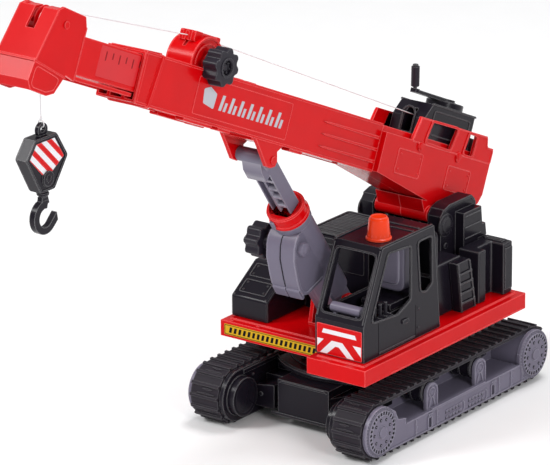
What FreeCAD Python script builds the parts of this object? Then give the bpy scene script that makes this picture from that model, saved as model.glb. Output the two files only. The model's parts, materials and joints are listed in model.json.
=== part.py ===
"""Toy crawler crane with a telescopic boom: one parametric document, one STEP file per piece.

All lengths are millimetres. X points to the crane's left (cab side), -Y is the way the boom
points and +Z is up. Ground pieces are drawn around the slewing axis, boom pieces around the
boom's pivot with s measured along the boom and u measured square to it, upwards.
"""
import FreeCAD, Part
import math
import os
import Sketcher

Vector = FreeCAD.Vector
Rotation = FreeCAD.Rotation
Placement = FreeCAD.Placement

X_AXIS = Vector(1, 0, 0)
Y_AXIS = Vector(0, 1, 0)
Z_AXIS = Vector(0, 0, 1)
LEFT, RIGHT = 1, -1
SIDES = (("left", LEFT), ("right", RIGHT))

doc = FreeCAD.newDocument("CrawlerCrane")
sheet = doc.addObject("Spreadsheet::Sheet", "Size")
nodes = []

# ------------------------------------------------------------------ driving dimensions

DIMENSIONS = {
    # place of the slewing axis, so that the whole object is centred on the origin
    "slew_axis_y": 143.94,
    # crawler tracks
    "wheel_base": 206.7, "hub_height": 23.2, "belt_outer": 23.2, "belt_base": 21.4,
    "belt_inner": 18.9, "belt_low_x": 54.0, "belt_high_x": 80.0, "grouser_count": 60,
    "wheel_radius": 18.5, "wheel_face_radius": 17.1, "wheel_face_x": 84.9,
    "plate_low_x": 80.6, "plate_high_x": 83.2, "web_low_x": 53.7, "web_high_x": 56.0,
    "cover_low_x": 49.7, "shelf_top": 19.4, "web_top": 41.4,
    "roller_radius": 9.0, "roller_place": 32.5, "roller_height": 32.6,
    "axle_radius": 2.5, "pin_radius": 2.0, "small_pin": 1.5, "running_gap": 0.06,
    # carbody, turntable and deck
    "beam_half": 24.0, "beam_front": 88.0, "beam_bottom": 7.5, "beam_top": 37.5,
    "turntable_radius": 75.0, "turntable_top": 41.5, "column_radius": 46.0,
    "column_top": 61.1, "spigot_radius": 8.0,
    "deck_half": 78.4, "deck_bottom": 61.6, "deck_top": 75.8, "deck_front": 88.4,
    "platform_front": 116.6, "platform_side": 24.3, "deck_rear": 98.9,
    # cab
    "cab_low_x": 25.4, "cab_high_x": 70.4,
    "cab_wall": 2.0,
    # boom, luffing pivot and cylinder
    "pivot_y": 46.4, "pivot_z": 142.6, "boom_angle": 23.9,
    "tube_half": 17.0, "tube_low": 19.5, "tube_high": 56.0, "tube_wall": 1.8,
    "tube_front": 398.0, "base_half": 22.0, "base_front": 83.0, "inner_gap": 0.4,
    "inner_rear": 130.0, "inner_low": 26.5,
    "clevis_y": 49.0, "clevis_z": 95.0, "rod_pin_along": 214.8, "rod_pin_up": 7.2,
    "knob_along": 316.0, "knob_up": 61.2, "drum_radius": 19.0, "guide_radius": 17.2,
    "winch_along": -20.0, "winch_top": 83.0,
    # head, hoist line, hook
    "sheave_along": 493.8, "sheave_up": 57.5, "sheave_groove": 8.6, "line_radius": 0.4,
    "knot_z": 323.0,
}


class Size:
    """A number together with the spreadsheet expression that it comes from."""

    def __init__(self, value, text):
        self.value = float(value)
        self.text = text

    def joined(self, other, sign, value):
        text = other.text if isinstance(other, Size) else repr(float(other))
        return Size(value, "(%s %s %s)" % (self.text, sign, text))

    def __add__(self, other):
        return self.joined(other, "+", self.value + number(other))

    def __sub__(self, other):
        return self.joined(other, "-", self.value - number(other))

    def __mul__(self, other):
        return self.joined(other, "*", self.value * number(other))

    def __truediv__(self, other):
        return self.joined(other, "/", self.value / number(other))

    def __neg__(self):
        return Size(-self.value, "(-1 * %s)" % self.text)


def number(value):
    return value.value if isinstance(value, Size) else float(value)


class Sheet:
    """Every driving dimension as an attribute, each kept in a spreadsheet cell."""

    def __init__(self, values):
        for row, (name, value) in enumerate(values.items(), start=1):
            sheet.set("A%d" % row, name)
            sheet.set("B%d" % row, str(value))
            sheet.setAlias("B%d" % row, name)
            setattr(self, name, Size(value, "Size." + name))


dim = Sheet(DIMENSIONS)
doc.recompute()


def bind(thing, prop, value):
    """Set a property and tie it to the spreadsheet where the value comes from there."""
    if isinstance(value, Size):
        thing.setExpression(prop, value.text)
    elif prop.startswith("."):
        thing.setExpression(prop, repr(float(value)))
    else:
        setattr(thing, prop, value)


# ------------------------------------------------------------------ frames

GROUND = Placement(Vector(0, number(dim.slew_axis_y), 0), Rotation())
BOOM = GROUND * Placement(Vector(0, number(dim.pivot_y), number(dim.pivot_z)),
                          Rotation(X_AXIS, -number(dim.boom_angle)))


def boom_point(along, up):
    """A point of the boom's side view, in the ground frame."""
    angle = math.radians(number(dim.boom_angle))
    y = number(dim.pivot_y) - number(along) * math.cos(angle) + number(up) * math.sin(angle)
    z = number(dim.pivot_z) + number(along) * math.sin(angle) + number(up) * math.cos(angle)
    return y, z


ROD_PIN = boom_point(dim.rod_pin_along, dim.rod_pin_up)
CLEVIS = (-number(dim.clevis_y), number(dim.clevis_z))
CYLINDER_LENGTH = math.dist(ROD_PIN, CLEVIS)
CYLINDER_ANGLE = math.degrees(math.atan2(ROD_PIN[1] - CLEVIS[1], CLEVIS[0] - ROD_PIN[0]))
# the cylinder's own frame: origin at the lower pin, +Z along the rod, +Y to the rear
CYLINDER = GROUND * Placement(Vector(0, CLEVIS[0], CLEVIS[1]),
                              Rotation(X_AXIS, 90 - CYLINDER_ANGLE))
SHEAVE = boom_point(dim.sheave_along, dim.sheave_up)
# the line runs round the sheave at this radius and hangs straight down in front of it
LINE_REACH = number(dim.sheave_groove) + number(dim.line_radius) + 0.05
HOOK_Y = SHEAVE[0] - LINE_REACH


# ------------------------------------------------------------------ modelling helpers

MOST_HELD_POINTS = 16


def origin_plane(body, role):
    for feature in body.Origin.OriginFeatures:
        if feature.Role == role:
            return feature
    raise ValueError(role)


def attached_sketch(body, role, height):
    sketch = body.newObject("Sketcher::SketchObject", "Sketch")
    sketch.AttachmentSupport = (origin_plane(body, role), [""])
    sketch.MapMode = "FlatFace"
    sketch.AttachmentOffset = Placement(Vector(0, 0, number(height)), Rotation())
    if isinstance(height, Size):
        sketch.setExpression("AttachmentOffset.Base.z", height.text)
    return sketch


def fix(sketch, kind, geometry, point, value):
    """Hold one coordinate of a sketch point at its distance from the sketch's origin."""
    row = sketch.addConstraint(
        Sketcher.Constraint(kind, -1, 1, geometry, point, number(value)))
    if isinstance(value, Size):
        sketch.setExpression("Constraints[%d]" % row, value.text)


def draw_outline(sketch, points):
    """Draw a closed outline. One with many points follows a formula and needs no constraints."""
    flat = [Vector(number(a), number(b), 0) for a, b in points]
    first = sketch.GeometryCount
    count = len(points)
    lines = [Part.LineSegment(flat[i], flat[(i + 1) % count]) for i in range(count)]
    sketch.addGeometry(lines, False)
    if count > MOST_HELD_POINTS:
        return
    for i in range(count):
        here, after = first + i, first + (i + 1) % count
        sketch.addConstraint(Sketcher.Constraint("Coincident", here, 2, after, 1))
        fix(sketch, "DistanceX", here, 1, points[i][0])
        fix(sketch, "DistanceY", here, 1, points[i][1])


def draw_circle(sketch, centre, radius):
    middle = Vector(number(centre[0]), number(centre[1]), 0)
    index = sketch.addGeometry(Part.Circle(middle, Z_AXIS, number(radius)), False)
    fix(sketch, "DistanceX", index, 3, centre[0])
    fix(sketch, "DistanceY", index, 3, centre[1])
    row = sketch.addConstraint(Sketcher.Constraint("Radius", index, number(radius)))
    if isinstance(radius, Size):
        sketch.setExpression("Constraints[%d]" % row, radius.text)


def draw(sketch, shapes):
    """Draw outlines (lists of points) and circles ((centre), radius) into one sketch."""
    for shape in shapes:
        if isinstance(shape, tuple):
            draw_circle(sketch, shape[0], shape[1])
        else:
            draw_outline(sketch, shape)


def new_body(label, frame):
    body = doc.addObject("PartDesign::Body", label)
    body.Label = label
    body.Placement = frame
    nodes.append(body)
    return body


def difference(high, low):
    return high - low if isinstance(high, Size) else Size(number(high), repr(float(high))) - low


def pad(body, role, low, high, *shapes):
    """Add a prism between two heights above one of the body's origin planes."""
    sketch = attached_sketch(body, role, low)
    draw(sketch, shapes)
    feature = body.newObject("PartDesign::Pad", "Pad")
    feature.Profile = sketch
    bind(feature, "Length", difference(high, low))
    doc.recompute()
    return feature


def pocket(body, role, low, high, *shapes):
    """Cut a prism between two heights above one of the body's origin planes."""
    before = body.Shape.Volume
    sketch = attached_sketch(body, role, high)
    draw(sketch, shapes)
    feature = body.newObject("PartDesign::Pocket", "Pocket")
    feature.Profile = sketch
    bind(feature, "Length", difference(high, low))
    doc.recompute()
    if body.Shape.Volume > before - 0.01:
        raise ValueError("a pocket in %s cuts nothing" % body.Label)
    return feature


def turned(body, role, *shapes):
    """Add a solid of revolution about the sketch's own vertical axis."""
    sketch = attached_sketch(body, role, 0)
    draw(sketch, shapes)
    feature = body.newObject("PartDesign::Revolution", "Revolution")
    feature.Profile = sketch
    feature.ReferenceAxis = (sketch, ["V_Axis"])
    feature.Angle = 360
    doc.recompute()
    return feature


def rectangle(low_a, low_b, high_a, high_b):
    return [(low_a, low_b), (high_a, low_b), (high_a, high_b), (low_a, high_b)]


def mirrored_points(points):
    """The same outline with its first coordinate turned round."""
    return [(-a, b) for a, b in reversed(points)]


def span(side, low, high):
    """An X range given for the left side, as (low, high) on either side."""
    return (low, high) if side == LEFT else (-high, -low)


def boom_outline(points):
    """Points along and up the boom as points of the boom frame's YZ plane."""
    return [(-a, b) for a, b in points]


def group(label, frame, shapes):
    """Several equal fasteners or pins that share one node."""
    feature = doc.addObject("Part::Feature", label)
    feature.Label = label
    feature.Shape = Part.makeCompound(shapes)
    feature.Placement = frame
    nodes.append(feature)
    return feature


def cylinder_between(start, end, radius):
    start, end = Vector(*start), Vector(*end)
    return Part.makeCylinder(number(radius), start.distanceToPoint(end), start, end - start)


YZ, XY, XZ = "YZ_Plane", "XY_Plane", "XZ_Plane"

# ------------------------------------------------------------------ carbody and turntable

ARM_HALF, ARM_DEPTH, ARM_SHOULDER = 49.7, 68.0, 34.0
ARM_LOW, ARM_HIGH = 11.0, 31.0
CORE_HALF_X, CORE_HALF_Y = 48.0, 55.0
FLANGE_RADIUS, FLANGE_RISE = 13.0, 2.0
CHASSIS_SCREWS = ((-15, -60), (15, -60), (-15, 60), (15, 60))


def make_carbody():
    """The cross-shaped frame between the tracks."""
    body = new_body("carbody", GROUND)
    beam = rectangle(-dim.beam_half, -dim.beam_front, dim.beam_half, dim.beam_front)
    pad(body, XY, dim.beam_bottom, dim.beam_top, beam)
    shoulder = number(dim.beam_front) - 2
    rear = [(ARM_HALF, ARM_DEPTH), (ARM_SHOULDER, ARM_DEPTH), (dim.beam_half, shoulder),
            (-dim.beam_half, shoulder), (-ARM_SHOULDER, ARM_DEPTH), (-ARM_HALF, ARM_DEPTH)]
    front = [(a, -b) for a, b in reversed(rear)]
    pad(body, XY, ARM_LOW, ARM_HIGH, rear + front)
    core = rectangle(-CORE_HALF_X, -CORE_HALF_Y, CORE_HALF_X, CORE_HALF_Y)
    pad(body, XY, ARM_HIGH, dim.beam_top, core)
    holes = [(place, dim.small_pin) for place in CHASSIS_SCREWS]
    pocket(body, XY, dim.beam_bottom, 22.0, *holes)


def make_turntable_base():
    """The round table with flattened sides, and the column that the deck turns on."""
    body = new_body("turntable_base", GROUND)
    reach = number(dim.turntable_radius)
    edge = math.sqrt(reach ** 2 - CORE_HALF_X ** 2)
    turn = math.atan2(edge, CORE_HALF_X)
    arc = [(reach * math.cos(a), reach * math.sin(a))
           for a in (turn + (math.pi - 2 * turn) * i / 10 for i in range(11))]
    outline = arc + [(-a, -b) for a, b in arc]
    pad(body, XY, dim.beam_top, dim.turntable_top, outline)
    pad(body, XY, dim.turntable_top, dim.column_top, ((0, 0), dim.column_radius))
    pocket(body, XY, dim.beam_top, dim.column_top,
           ((0, 0), dim.spigot_radius + dim.running_gap))


def make_slew_spigot():
    """The flanged pin that holds the deck down on the column."""
    body = new_body("slew_spigot", GROUND)
    pad(body, XY, dim.beam_top + 0.5, dim.deck_top, ((0, 0), dim.spigot_radius))
    pad(body, XY, dim.deck_top, dim.deck_top + FLANGE_RISE, ((0, 0), FLANGE_RADIUS))


def make_undercarriage_screws():
    screws = []
    for x, y in CHASSIS_SCREWS:
        low = number(dim.beam_bottom)
        shank = cylinder_between((x, y, low), (x, y, 20), dim.small_pin)
        head = cylinder_between((x, y, low - 1.6), (x, y, low), 3.0)
        screws.append(shank.fuse(head).removeSplitter())
    group("undercarriage_screws", GROUND, screws)


# ------------------------------------------------------------------ crawler tracks

PLATE_OUTLINE = [(-92, 4.6), (92, 4.6), (103.35, 4.4), (103.35, 42.0), (92, 39), (88, 29),
                 (84, 28), (84, 19.4), (-70, 19.4), (-70, 24), (-80, 26), (-84, 34),
                 (-92, 39), (-103.35, 42.0), (-103.35, 4.4)]
PLATE_RING = 19.6
SLOT_PLACES = (-39.0, 46.5)
WEB_HOLES = ((-60, -50), (0, 13), (66, 78))
SHELF_THICK = 2.0
RIB_PLACES = (-78.0, 0.0, 80.0)
BRACKET_LOW_X, BRACKET_HIGH_X, BRACKET_HALF = 78.4, 80.4, 7.6


def wheel_places():
    return (-dim.wheel_base / 2, dim.wheel_base / 2)


def roller_places():
    return (-dim.roller_place, dim.roller_place)


def stadium(radius):
    """Face between the two wheels with round ends, in the side plane."""
    r = number(radius)
    half = number(dim.wheel_base) / 2
    z = number(dim.hub_height)
    top = [Vector(0, -half, z + r), Vector(0, half, z + r)]
    low = [Vector(0, half, z - r), Vector(0, -half, z - r)]
    rear = Part.Arc(top[1], Vector(0, half + r, z), low[0]).toShape()
    front = Part.Arc(low[1], Vector(0, -half - r, z), top[0]).toShape()
    edges = [Part.LineSegment(*top).toShape(), rear, Part.LineSegment(*low).toShape(), front]
    return Part.Face(Part.Wire(edges))


def belt_place(distance):
    """Point on the belt's base surface and its outward angle, at a distance along it."""
    half = number(dim.wheel_base) / 2
    radius = number(dim.belt_base)
    straight, bend = 2 * half, math.pi * radius
    if distance < straight:
        return -half + distance, radius, 90.0
    distance -= straight
    if distance < bend:
        angle = math.pi / 2 - distance / radius
        return half + radius * math.cos(angle), radius * math.sin(angle), math.degrees(angle)
    distance -= bend
    if distance < straight:
        return half - distance, -radius, -90.0
    angle = -math.pi / 2 - (distance - straight) / radius
    return -half + radius * math.cos(angle), radius * math.sin(angle), math.degrees(angle)


def make_belt(name, side):
    """A rubber track: a smooth band with a bar across it at every link."""
    low, high = span(side, number(dim.belt_low_x), number(dim.belt_high_x))
    width = high - low
    band = stadium(dim.belt_base).extrude(Vector(width, 0, 0))
    band = band.cut(stadium(dim.belt_inner).extrude(Vector(width, 0, 0)))
    count = int(number(dim.grouser_count))
    length = 2 * number(dim.wheel_base) + 2 * math.pi * number(dim.belt_base)
    rise = number(dim.belt_outer) - number(dim.belt_base)
    bars = []
    for i in range(count):
        y, z, angle = belt_place((i + 0.5) * length / count)
        bar = Part.makeBox(width, 2.6, rise + 0.6, Vector(0, -1.3, -0.6))
        bar.Placement = Placement(Vector(0, y, z + number(dim.hub_height)),
                                  Rotation(X_AXIS, angle - 90))
        bars.append(bar)
    feature = doc.addObject("Part::Feature", "track_belt_" + name)
    feature.Label = "track_belt_" + name
    feature.Shape = band.multiFuse(bars).removeSplitter()
    feature.Placement = GROUND * Placement(Vector(low, 0, 0), Rotation())
    nodes.append(feature)


def make_track_frame(name, side):
    """Side plate with a ring at each wheel, a shelf, an inner web and roller brackets."""
    body = new_body("track_frame_" + name, GROUND)
    plate = span(side, dim.plate_low_x, dim.plate_high_x)
    pad(body, YZ, *plate, PLATE_OUTLINE)
    for place in wheel_places():
        pad(body, YZ, *plate, ((place, dim.hub_height), PLATE_RING))
    openings = [((place, dim.hub_height), dim.wheel_face_radius + 0.3)
                for place in wheel_places()]
    pocket(body, YZ, *plate, *openings)
    slots = [rectangle(y - 2, 6.5, y + 2, 15) for y in SLOT_PLACES]
    pocket(body, YZ, *plate, *slots)
    shelf = span(side, dim.web_high_x, dim.plate_low_x)
    pad(body, YZ, *shelf, rectangle(-80, dim.shelf_top - SHELF_THICK, 84, dim.shelf_top))
    ribs = [rectangle(y - 1, 6, y + 1, dim.shelf_top - SHELF_THICK) for y in RIB_PLACES]
    pad(body, YZ, *shelf, *ribs)
    web = span(side, dim.web_low_x, dim.web_high_x)
    pad(body, YZ, *web, rectangle(-80, 6, 84, dim.web_top))
    holes = [rectangle(a, 24, b, 28) for a, b in WEB_HOLES]
    pocket(body, YZ, *web, *holes)
    bracket = span(side, BRACKET_LOW_X, BRACKET_HIGH_X)
    for y in roller_places():
        foot = rectangle(y - BRACKET_HALF, dim.shelf_top, y + BRACKET_HALF, dim.roller_height)
        pad(body, YZ, *bracket, foot)
        pad(body, YZ, *bracket, ((y, dim.roller_height), BRACKET_HALF))
    pins = [((y, dim.roller_height), dim.small_pin) for y in roller_places()]
    pocket(body, YZ, *bracket, *pins)
    pocket(body, YZ, *web, *pins)


def make_inner_cover(name, side):
    """The black cover on the inner side of a track, with a bulge at each wheel."""
    body = new_body("track_cover_" + name, GROUND)
    cover = span(side, dim.cover_low_x, dim.web_low_x)
    pad(body, YZ, *cover, rectangle(wheel_places()[0], 2.7, wheel_places()[1], 43.7))
    for place in wheel_places():
        pad(body, YZ, *cover, ((place, dim.hub_height), 20.5))
    bulge = span(side, dim.cover_low_x - 6.5, dim.cover_low_x)
    for place in wheel_places():
        pad(body, YZ, *bulge, ((place, dim.hub_height), 15.5))
    for place in wheel_places():
        hole = ((place, dim.hub_height), dim.axle_radius)
        pocket(body, YZ, *span(side, dim.cover_low_x - 4.0, dim.web_low_x), hole)


def make_wheel(label, side, place):
    """A drum that carries the belt, with a smaller flange that shows in the side plate."""
    body = new_body(label, GROUND)
    centre = (place, dim.hub_height)
    pad(body, YZ, *span(side, 54.2, dim.plate_low_x - 0.3), (centre, dim.wheel_radius))
    pad(body, YZ, *span(side, dim.plate_low_x - 0.3, dim.wheel_face_x),
        (centre, dim.wheel_face_radius))
    pocket(body, YZ, *span(side, 54.2, dim.wheel_face_x),
           (centre, dim.axle_radius + dim.running_gap))


def make_roller(label, side, place):
    body = new_body(label, GROUND)
    centre = (place, dim.roller_height)
    pad(body, YZ, *span(side, 57.0, 77.8), (centre, dim.roller_radius))
    pocket(body, YZ, *span(side, 57.0, 77.8), (centre, dim.small_pin + dim.running_gap))


def make_axles():
    """The wheel axles with their hub caps and the roller pins."""
    pins = []
    cap_start = number(dim.wheel_face_x) + 0.2
    for _, side in SIDES:
        for place in wheel_places():
            y, z = number(place), number(dim.hub_height)
            start = number(dim.cover_low_x) - 4.0
            pin = cylinder_between((side * start, y, z), (side * cap_start, y, z), dim.axle_radius)
            cap = cylinder_between((side * cap_start, y, z), (side * (cap_start + 1.2), y, z), 4.6)
            pins.append(pin.fuse(cap).removeSplitter())
        for place in roller_places():
            y, z = number(place), number(dim.roller_height)
            ends = (side * number(dim.web_low_x), y, z), (side * BRACKET_HIGH_X, y, z)
            pins.append(cylinder_between(*ends, dim.small_pin))
    group("track_axles", GROUND, pins)


# ------------------------------------------------------------------ deck and what stands on it

DECK_SKIN = 3.0
RIM_DROP, RIM_INSET = 1.3, 5.5


def deck_outline(inset=0.0):
    half = dim.deck_half - inset
    side = dim.platform_side + inset
    return [(-half, -(dim.deck_front - inset)), (side, -(dim.deck_front - inset)),
            (side, -(dim.platform_front - inset)), (half, -(dim.platform_front - inset)),
            (half, dim.deck_rear - inset), (-half, dim.deck_rear - inset)]


def make_deck():
    """The turning platform: a shallow tray, open below, with a raised top inside its rim."""
    body = new_body("deck", GROUND)
    pad(body, XY, dim.deck_bottom, dim.deck_top - RIM_DROP, deck_outline())
    pad(body, XY, dim.deck_top - RIM_DROP, dim.deck_top, deck_outline(RIM_INSET))
    pocket(body, XY, dim.deck_bottom, dim.deck_top - RIM_DROP - DECK_SKIN,
           deck_outline(DECK_SKIN))
    pad(body, XY, dim.deck_bottom, dim.deck_top - RIM_DROP - DECK_SKIN, ((0, 0), 30.0))
    pocket(body, XY, dim.deck_bottom, dim.deck_top, ((0, 0), dim.spigot_radius))


CAB_SIDE = [(-107, 75.8), (-107, 104), (-82.2, 160), (-15.5, 160), (-7, 75.8)]
CAB_INSIDE = [(-105, 75.8), (-105, 104.4), (-80.9, 158), (-17.3, 158), (-9.2, 75.8)]
DOOR_WINDOW = [(-97.5, 105.2), (-75.6, 154), (-46.3, 152), (-46.3, 109.5), (-62.8, 102.6)]
REAR_WINDOW = [(-37, 152.5), (-18.9, 152.5), (-18.3, 114.6), (-26, 110.4), (-33.5, 112.5)]
INNER_WINDOW = [(-94, 108), (-76, 150), (-24, 150), (-24, 108)]


def make_cab_shell():
    """The cab: a thin shell, open below, with window openings all round."""
    body = new_body("cab_shell", GROUND)
    low, high = dim.cab_low_x, dim.cab_high_x
    pad(body, YZ, low, high, CAB_SIDE)
    pocket(body, YZ, low + dim.cab_wall, high - dim.cab_wall, CAB_INSIDE)
    pocket(body, YZ, high - dim.cab_wall, high, DOOR_WINDOW, REAR_WINDOW)
    pocket(body, YZ, low, low + dim.cab_wall, INNER_WINDOW)
    windshield = [(-112, 109), (-84, 109), (-72, 154.5), (-95, 154.5)]
    pocket(body, YZ, low + 4.0, high - 4.0, windshield)
    rear_light = rectangle(-20, 116, -5, 150)
    pocket(body, YZ, low + 5.0, high - 5.0, rear_light)


def make_cab_inside():
    """The seat, and the dashboard with its side console."""
    seat = new_body("cab_seat", GROUND)
    pad(seat, YZ, 34.0, 62.0, [(-60, 75.8), (-60, 106), (-58, 110), (-30, 110), (-30, 75.8)])
    pad(seat, YZ, 36.0, 60.0, [(-40, 110), (-36, 146), (-26, 146), (-30, 110)])
    console = new_body("cab_console", GROUND)
    pad(console, YZ, 27.6, 68.2, [(-104.6, 75.8), (-104.6, 103), (-92, 103), (-90, 75.8)])
    pad(console, YZ, 62.6, 68.2, [(-92, 75.8), (-92, 103), (-66, 103), (-66, 75.8)])
    lever_x, lever_radius, lever_top = 65.4, 1.3, 114.0
    levers = [((lever_x, y), lever_radius) for y in (-86.0, -79.0, -72.0)]
    pad(console, XY, 103.0, lever_top, *levers)


def make_beacon():
    body = new_body("beacon", GROUND * Placement(Vector(54.5, -65.5, 160.0), Rotation()))
    turned(body, XZ, [(0, 0), (9.6, 0), (9.6, 1.6), (8.9, 2.2), (7.5, 16.2), (6.4, 17.4), (0, 17.4)])


def make_hoods():
    """The engine hood in the middle and the covers beside and behind it."""
    hood = new_body("engine_hood", GROUND)
    pad(hood, YZ, -40.0, 20.0, [(-30, 75.8), (-30, 136), (-26, 138), (27.7, 138), (30, 134),
                                (30, 75.8)])
    louvres = [rectangle(y, 137, y + 2.2, 138) for y in range(-24, 24, 6)]
    pocket(hood, YZ, -37.0, -4.0, *louvres)
    flange_room = dim.deck_top + FLANGE_RISE + 0.4
    pocket(hood, XY, dim.deck_top, flange_room, ((0, 0), FLANGE_RADIUS + 0.4))
    box = new_body("front_box", GROUND)
    pad(box, YZ, -75.0, -40.3, [(-79, 75.8), (-79, 93), (-48, 113.5), (-30, 113.5), (-30, 75.8)])
    cover = new_body("side_cover", GROUND)
    pad(cover, YZ, -75.0, -40.3, [(-29.7, 75.8), (-29.7, 112), (-20, 118), (36, 118), (51.7, 112),
                                  (51.7, 75.8)])
    case = new_body("machine_case", GROUND)
    pad(case, YZ, 22.0, 57.7, [(-5, 75.8), (-5, 118), (39.7, 118), (39.7, 75.8)])
    steps = new_body("side_steps", GROUND)
    pad(steps, YZ, 58.0, 66.0, [(28, 75.8), (22, 117), (39.5, 117), (48, 75.8)])


TOWER_SIDE = [(40, 75.8), (40, 144.5), (44, 149), (52, 151.5), (81.7, 151.5), (88, 145.2),
              (88, 118.4), (80, 118.4), (80, 75.8)]
TOWER_BOX = [(60, 75.8), (60, 143.7), (84, 143.7), (85.5, 128.7), (89.8, 128.7), (91.3, 118.4),
             (80, 118.4), (80, 75.8)]


def make_tower(name, side):
    """One of the two posts that carry the boom pin."""
    body = new_body("tower_" + name, GROUND)
    pad(body, YZ, *span(side, 26.0, 38.0), TOWER_SIDE)
    pad(body, YZ, *span(side, 38.0, 46.0), TOWER_BOX)
    pocket(body, YZ, *span(side, 26.0, 38.0), ((dim.pivot_y, dim.pivot_z), dim.axle_radius))


def make_counterweight():
    """The rear block: two stepped wings joined by a low bar behind the boom."""
    body = new_body("counterweight", GROUND)
    wing = [(25.7, 92.3), (25.7, 80.3), (46.3, 80.3), (46.3, 52), (66, 52), (66, 62), (58, 62),
            (58, 80.3), (70, 80.3), (70, 92.3)]
    pad(body, XY, dim.deck_top, 118.0, wing, mirrored_points(wing))
    pad(body, XY, dim.deck_top, 88.0, rectangle(-25.7, 80.3, 25.7, 92.3))


EAR_LOW_X, EAR_HIGH_X = 11.4, 15.0
EAR_FRONT, EAR_REAR = -61.0, -37.0
EAR_SIDE = [(EAR_FRONT, 75.8), (-56.5, 97), (-53, 102.4), (-45, 102.4), (-41.5, 97),
            (EAR_REAR, 75.8)]


def make_clevis():
    """The red bracket that holds the foot of the luffing cylinder."""
    body = new_body("cylinder_clevis", GROUND)
    plate = rectangle(-EAR_HIGH_X, EAR_FRONT, EAR_HIGH_X, EAR_REAR)
    pad(body, XY, dim.deck_top, dim.deck_top + 2.0, plate)
    for side in (LEFT, RIGHT):
        pad(body, YZ, *span(side, EAR_LOW_X, EAR_HIGH_X), EAR_SIDE)
    for side in (LEFT, RIGHT):
        pocket(body, YZ, *span(side, EAR_LOW_X, EAR_HIGH_X),
               ((-dim.clevis_y, dim.clevis_z), dim.pin_radius))


def headed_pin(half, y, z, radius, head):
    """A pin along X with a head at each end."""
    pin = cylinder_between((-half, y, z), (half, y, z), radius)
    for side in (LEFT, RIGHT):
        cap = cylinder_between((side * half, y, z), (side * (half + 1.2), y, z), head)
        pin = pin.fuse(cap)
    return pin.removeSplitter()


def make_superstructure_pins():
    y, z = number(dim.pivot_y), number(dim.pivot_z)
    boom_pin = cylinder_between((-38, y, z), (38, y, z), dim.axle_radius)
    cylinder_pin = headed_pin(EAR_HIGH_X, *CLEVIS, dim.pin_radius, 3.4)
    group("pivot_pins", GROUND, [boom_pin, cylinder_pin])
    screws = []
    for side in (LEFT, RIGHT):
        for y, z in ((46.0, 120.0), (46.0, 100.0)):
            screws.append(cylinder_between((side * 38, y, z), (side * 39.4, y, z), 2.6))
        for x in (62.0, 50.0):
            screws.append(cylinder_between((side * x, 86.3, 118), (side * x, 86.3, 119.4), 2.6))
    group("superstructure_screws", GROUND, screws)


# ------------------------------------------------------------------ boom

BASE_TOP = number(dim.tube_high)
BASE_SIDE = [(83, 20), (6, 9.5), (-45, 9.5), (-66, 18), (-70, 26), (-70, BASE_TOP),
             (83, BASE_TOP)]
BASE_CORNER = 4.6
GUARD_SIDE = [(46, 49), (46, 52), (40.3, 70.5), (-57.8, 71), (-60.5, 63), (-70, 63), (-70, 49)]
GUARD_WINDOWS = [[(28.5, 52.5), (24, 69), (-13.5, 69.5), (-8.5, 52)],
                 [(-27.7, 52), (-30.8, 68.8), (-42, 68.5), (-41.5, 52)]]
GUARD_THICK = 2.4
BARREL_RADIUS = 6.3
BRACKET_SIDE = [(243, 19.5), (236, 14), (221, 1.5), (215.8, 1), (210.5, 3), (209, 7), (212, 14),
                (206, 19.5)]
BRACKET_EARS = (13.8, 17.2)
WELL_HALF = 12.8


def make_boom_shell(name, side):
    """Half of the outer boom: tube, base housing with its guard plate, and pivot barrel."""
    body = new_body("boom_shell_" + name, BOOM)
    tube = rectangle(-dim.tube_front, dim.tube_low, -dim.base_front, dim.tube_high)
    pad(body, YZ, *span(side, 0.0, dim.tube_half), tube)
    pad(body, YZ, *span(side, 0.0, dim.base_half - BASE_CORNER), boom_outline(BASE_SIDE))
    lower = [(s, min(u, BASE_TOP - BASE_CORNER)) for s, u in BASE_SIDE]
    pad(body, YZ, *span(side, dim.base_half - BASE_CORNER, dim.base_half), boom_outline(lower))
    guard = span(side, dim.base_half - GUARD_THICK, dim.base_half)
    pad(body, YZ, *guard, boom_outline(GUARD_SIDE))
    windows = [boom_outline(window) for window in GUARD_WINDOWS]
    pocket(body, YZ, *guard, *windows)
    pad(body, YZ, *span(side, 0.0, 24.6), ((0, 0), BARREL_RADIUS))
    foot = boom_outline([(-6, 0), (-14, 9.5), (14, 9.5), (6, 0)])
    pad(body, YZ, *span(side, 0.0, dim.base_half), foot)
    pocket(body, YZ, *span(side, 0.0, 24.6), ((0, 0), dim.axle_radius + dim.running_gap))
    wall = dim.tube_wall
    hollow = rectangle(-dim.tube_front, dim.tube_low + wall, 45.0, dim.tube_high - wall)
    pocket(body, YZ, *span(side, 0.0, dim.tube_half - wall), hollow)
    runner = rectangle(-dim.tube_front, dim.tube_low + wall, -dim.base_front,
                       dim.inner_low - dim.inner_gap)
    pad(body, YZ, *span(side, 5.0, 8.0), runner)
    slot = rectangle(-dim.knob_along - 9.0, dim.tube_high - wall, -dim.knob_along + 9.0,
                     dim.tube_high)
    pocket(body, YZ, *span(side, 0.0, 3.6), slot)


def make_winch_housing():
    """The black box on the boom's base, with the spool's well and the line's arch."""
    body = new_body("winch_housing", BOOM)
    along = number(dim.winch_along)
    low, top = dim.tube_high, dim.winch_top
    shape = [(26, low), (26, 70), (23.6, 74), (17.8, top), (-44, top), (-44, low)]
    pad(body, YZ, -15.0, 15.0, boom_outline(shape))
    pocket(body, XY, low, top, ((0, -along), WELL_HALF + 0.4))
    pocket(body, YZ, -4.5, 4.5, boom_outline([(26.2, 58), (26.2, 77), (along + 8, 77),
                                              (along + 8, 58)]))


CLIP_REAR, CLIP_FRONT, CLIP_RISE, CLIP_DROP = -16.0, 16.0, 1.8, 6.0


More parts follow.
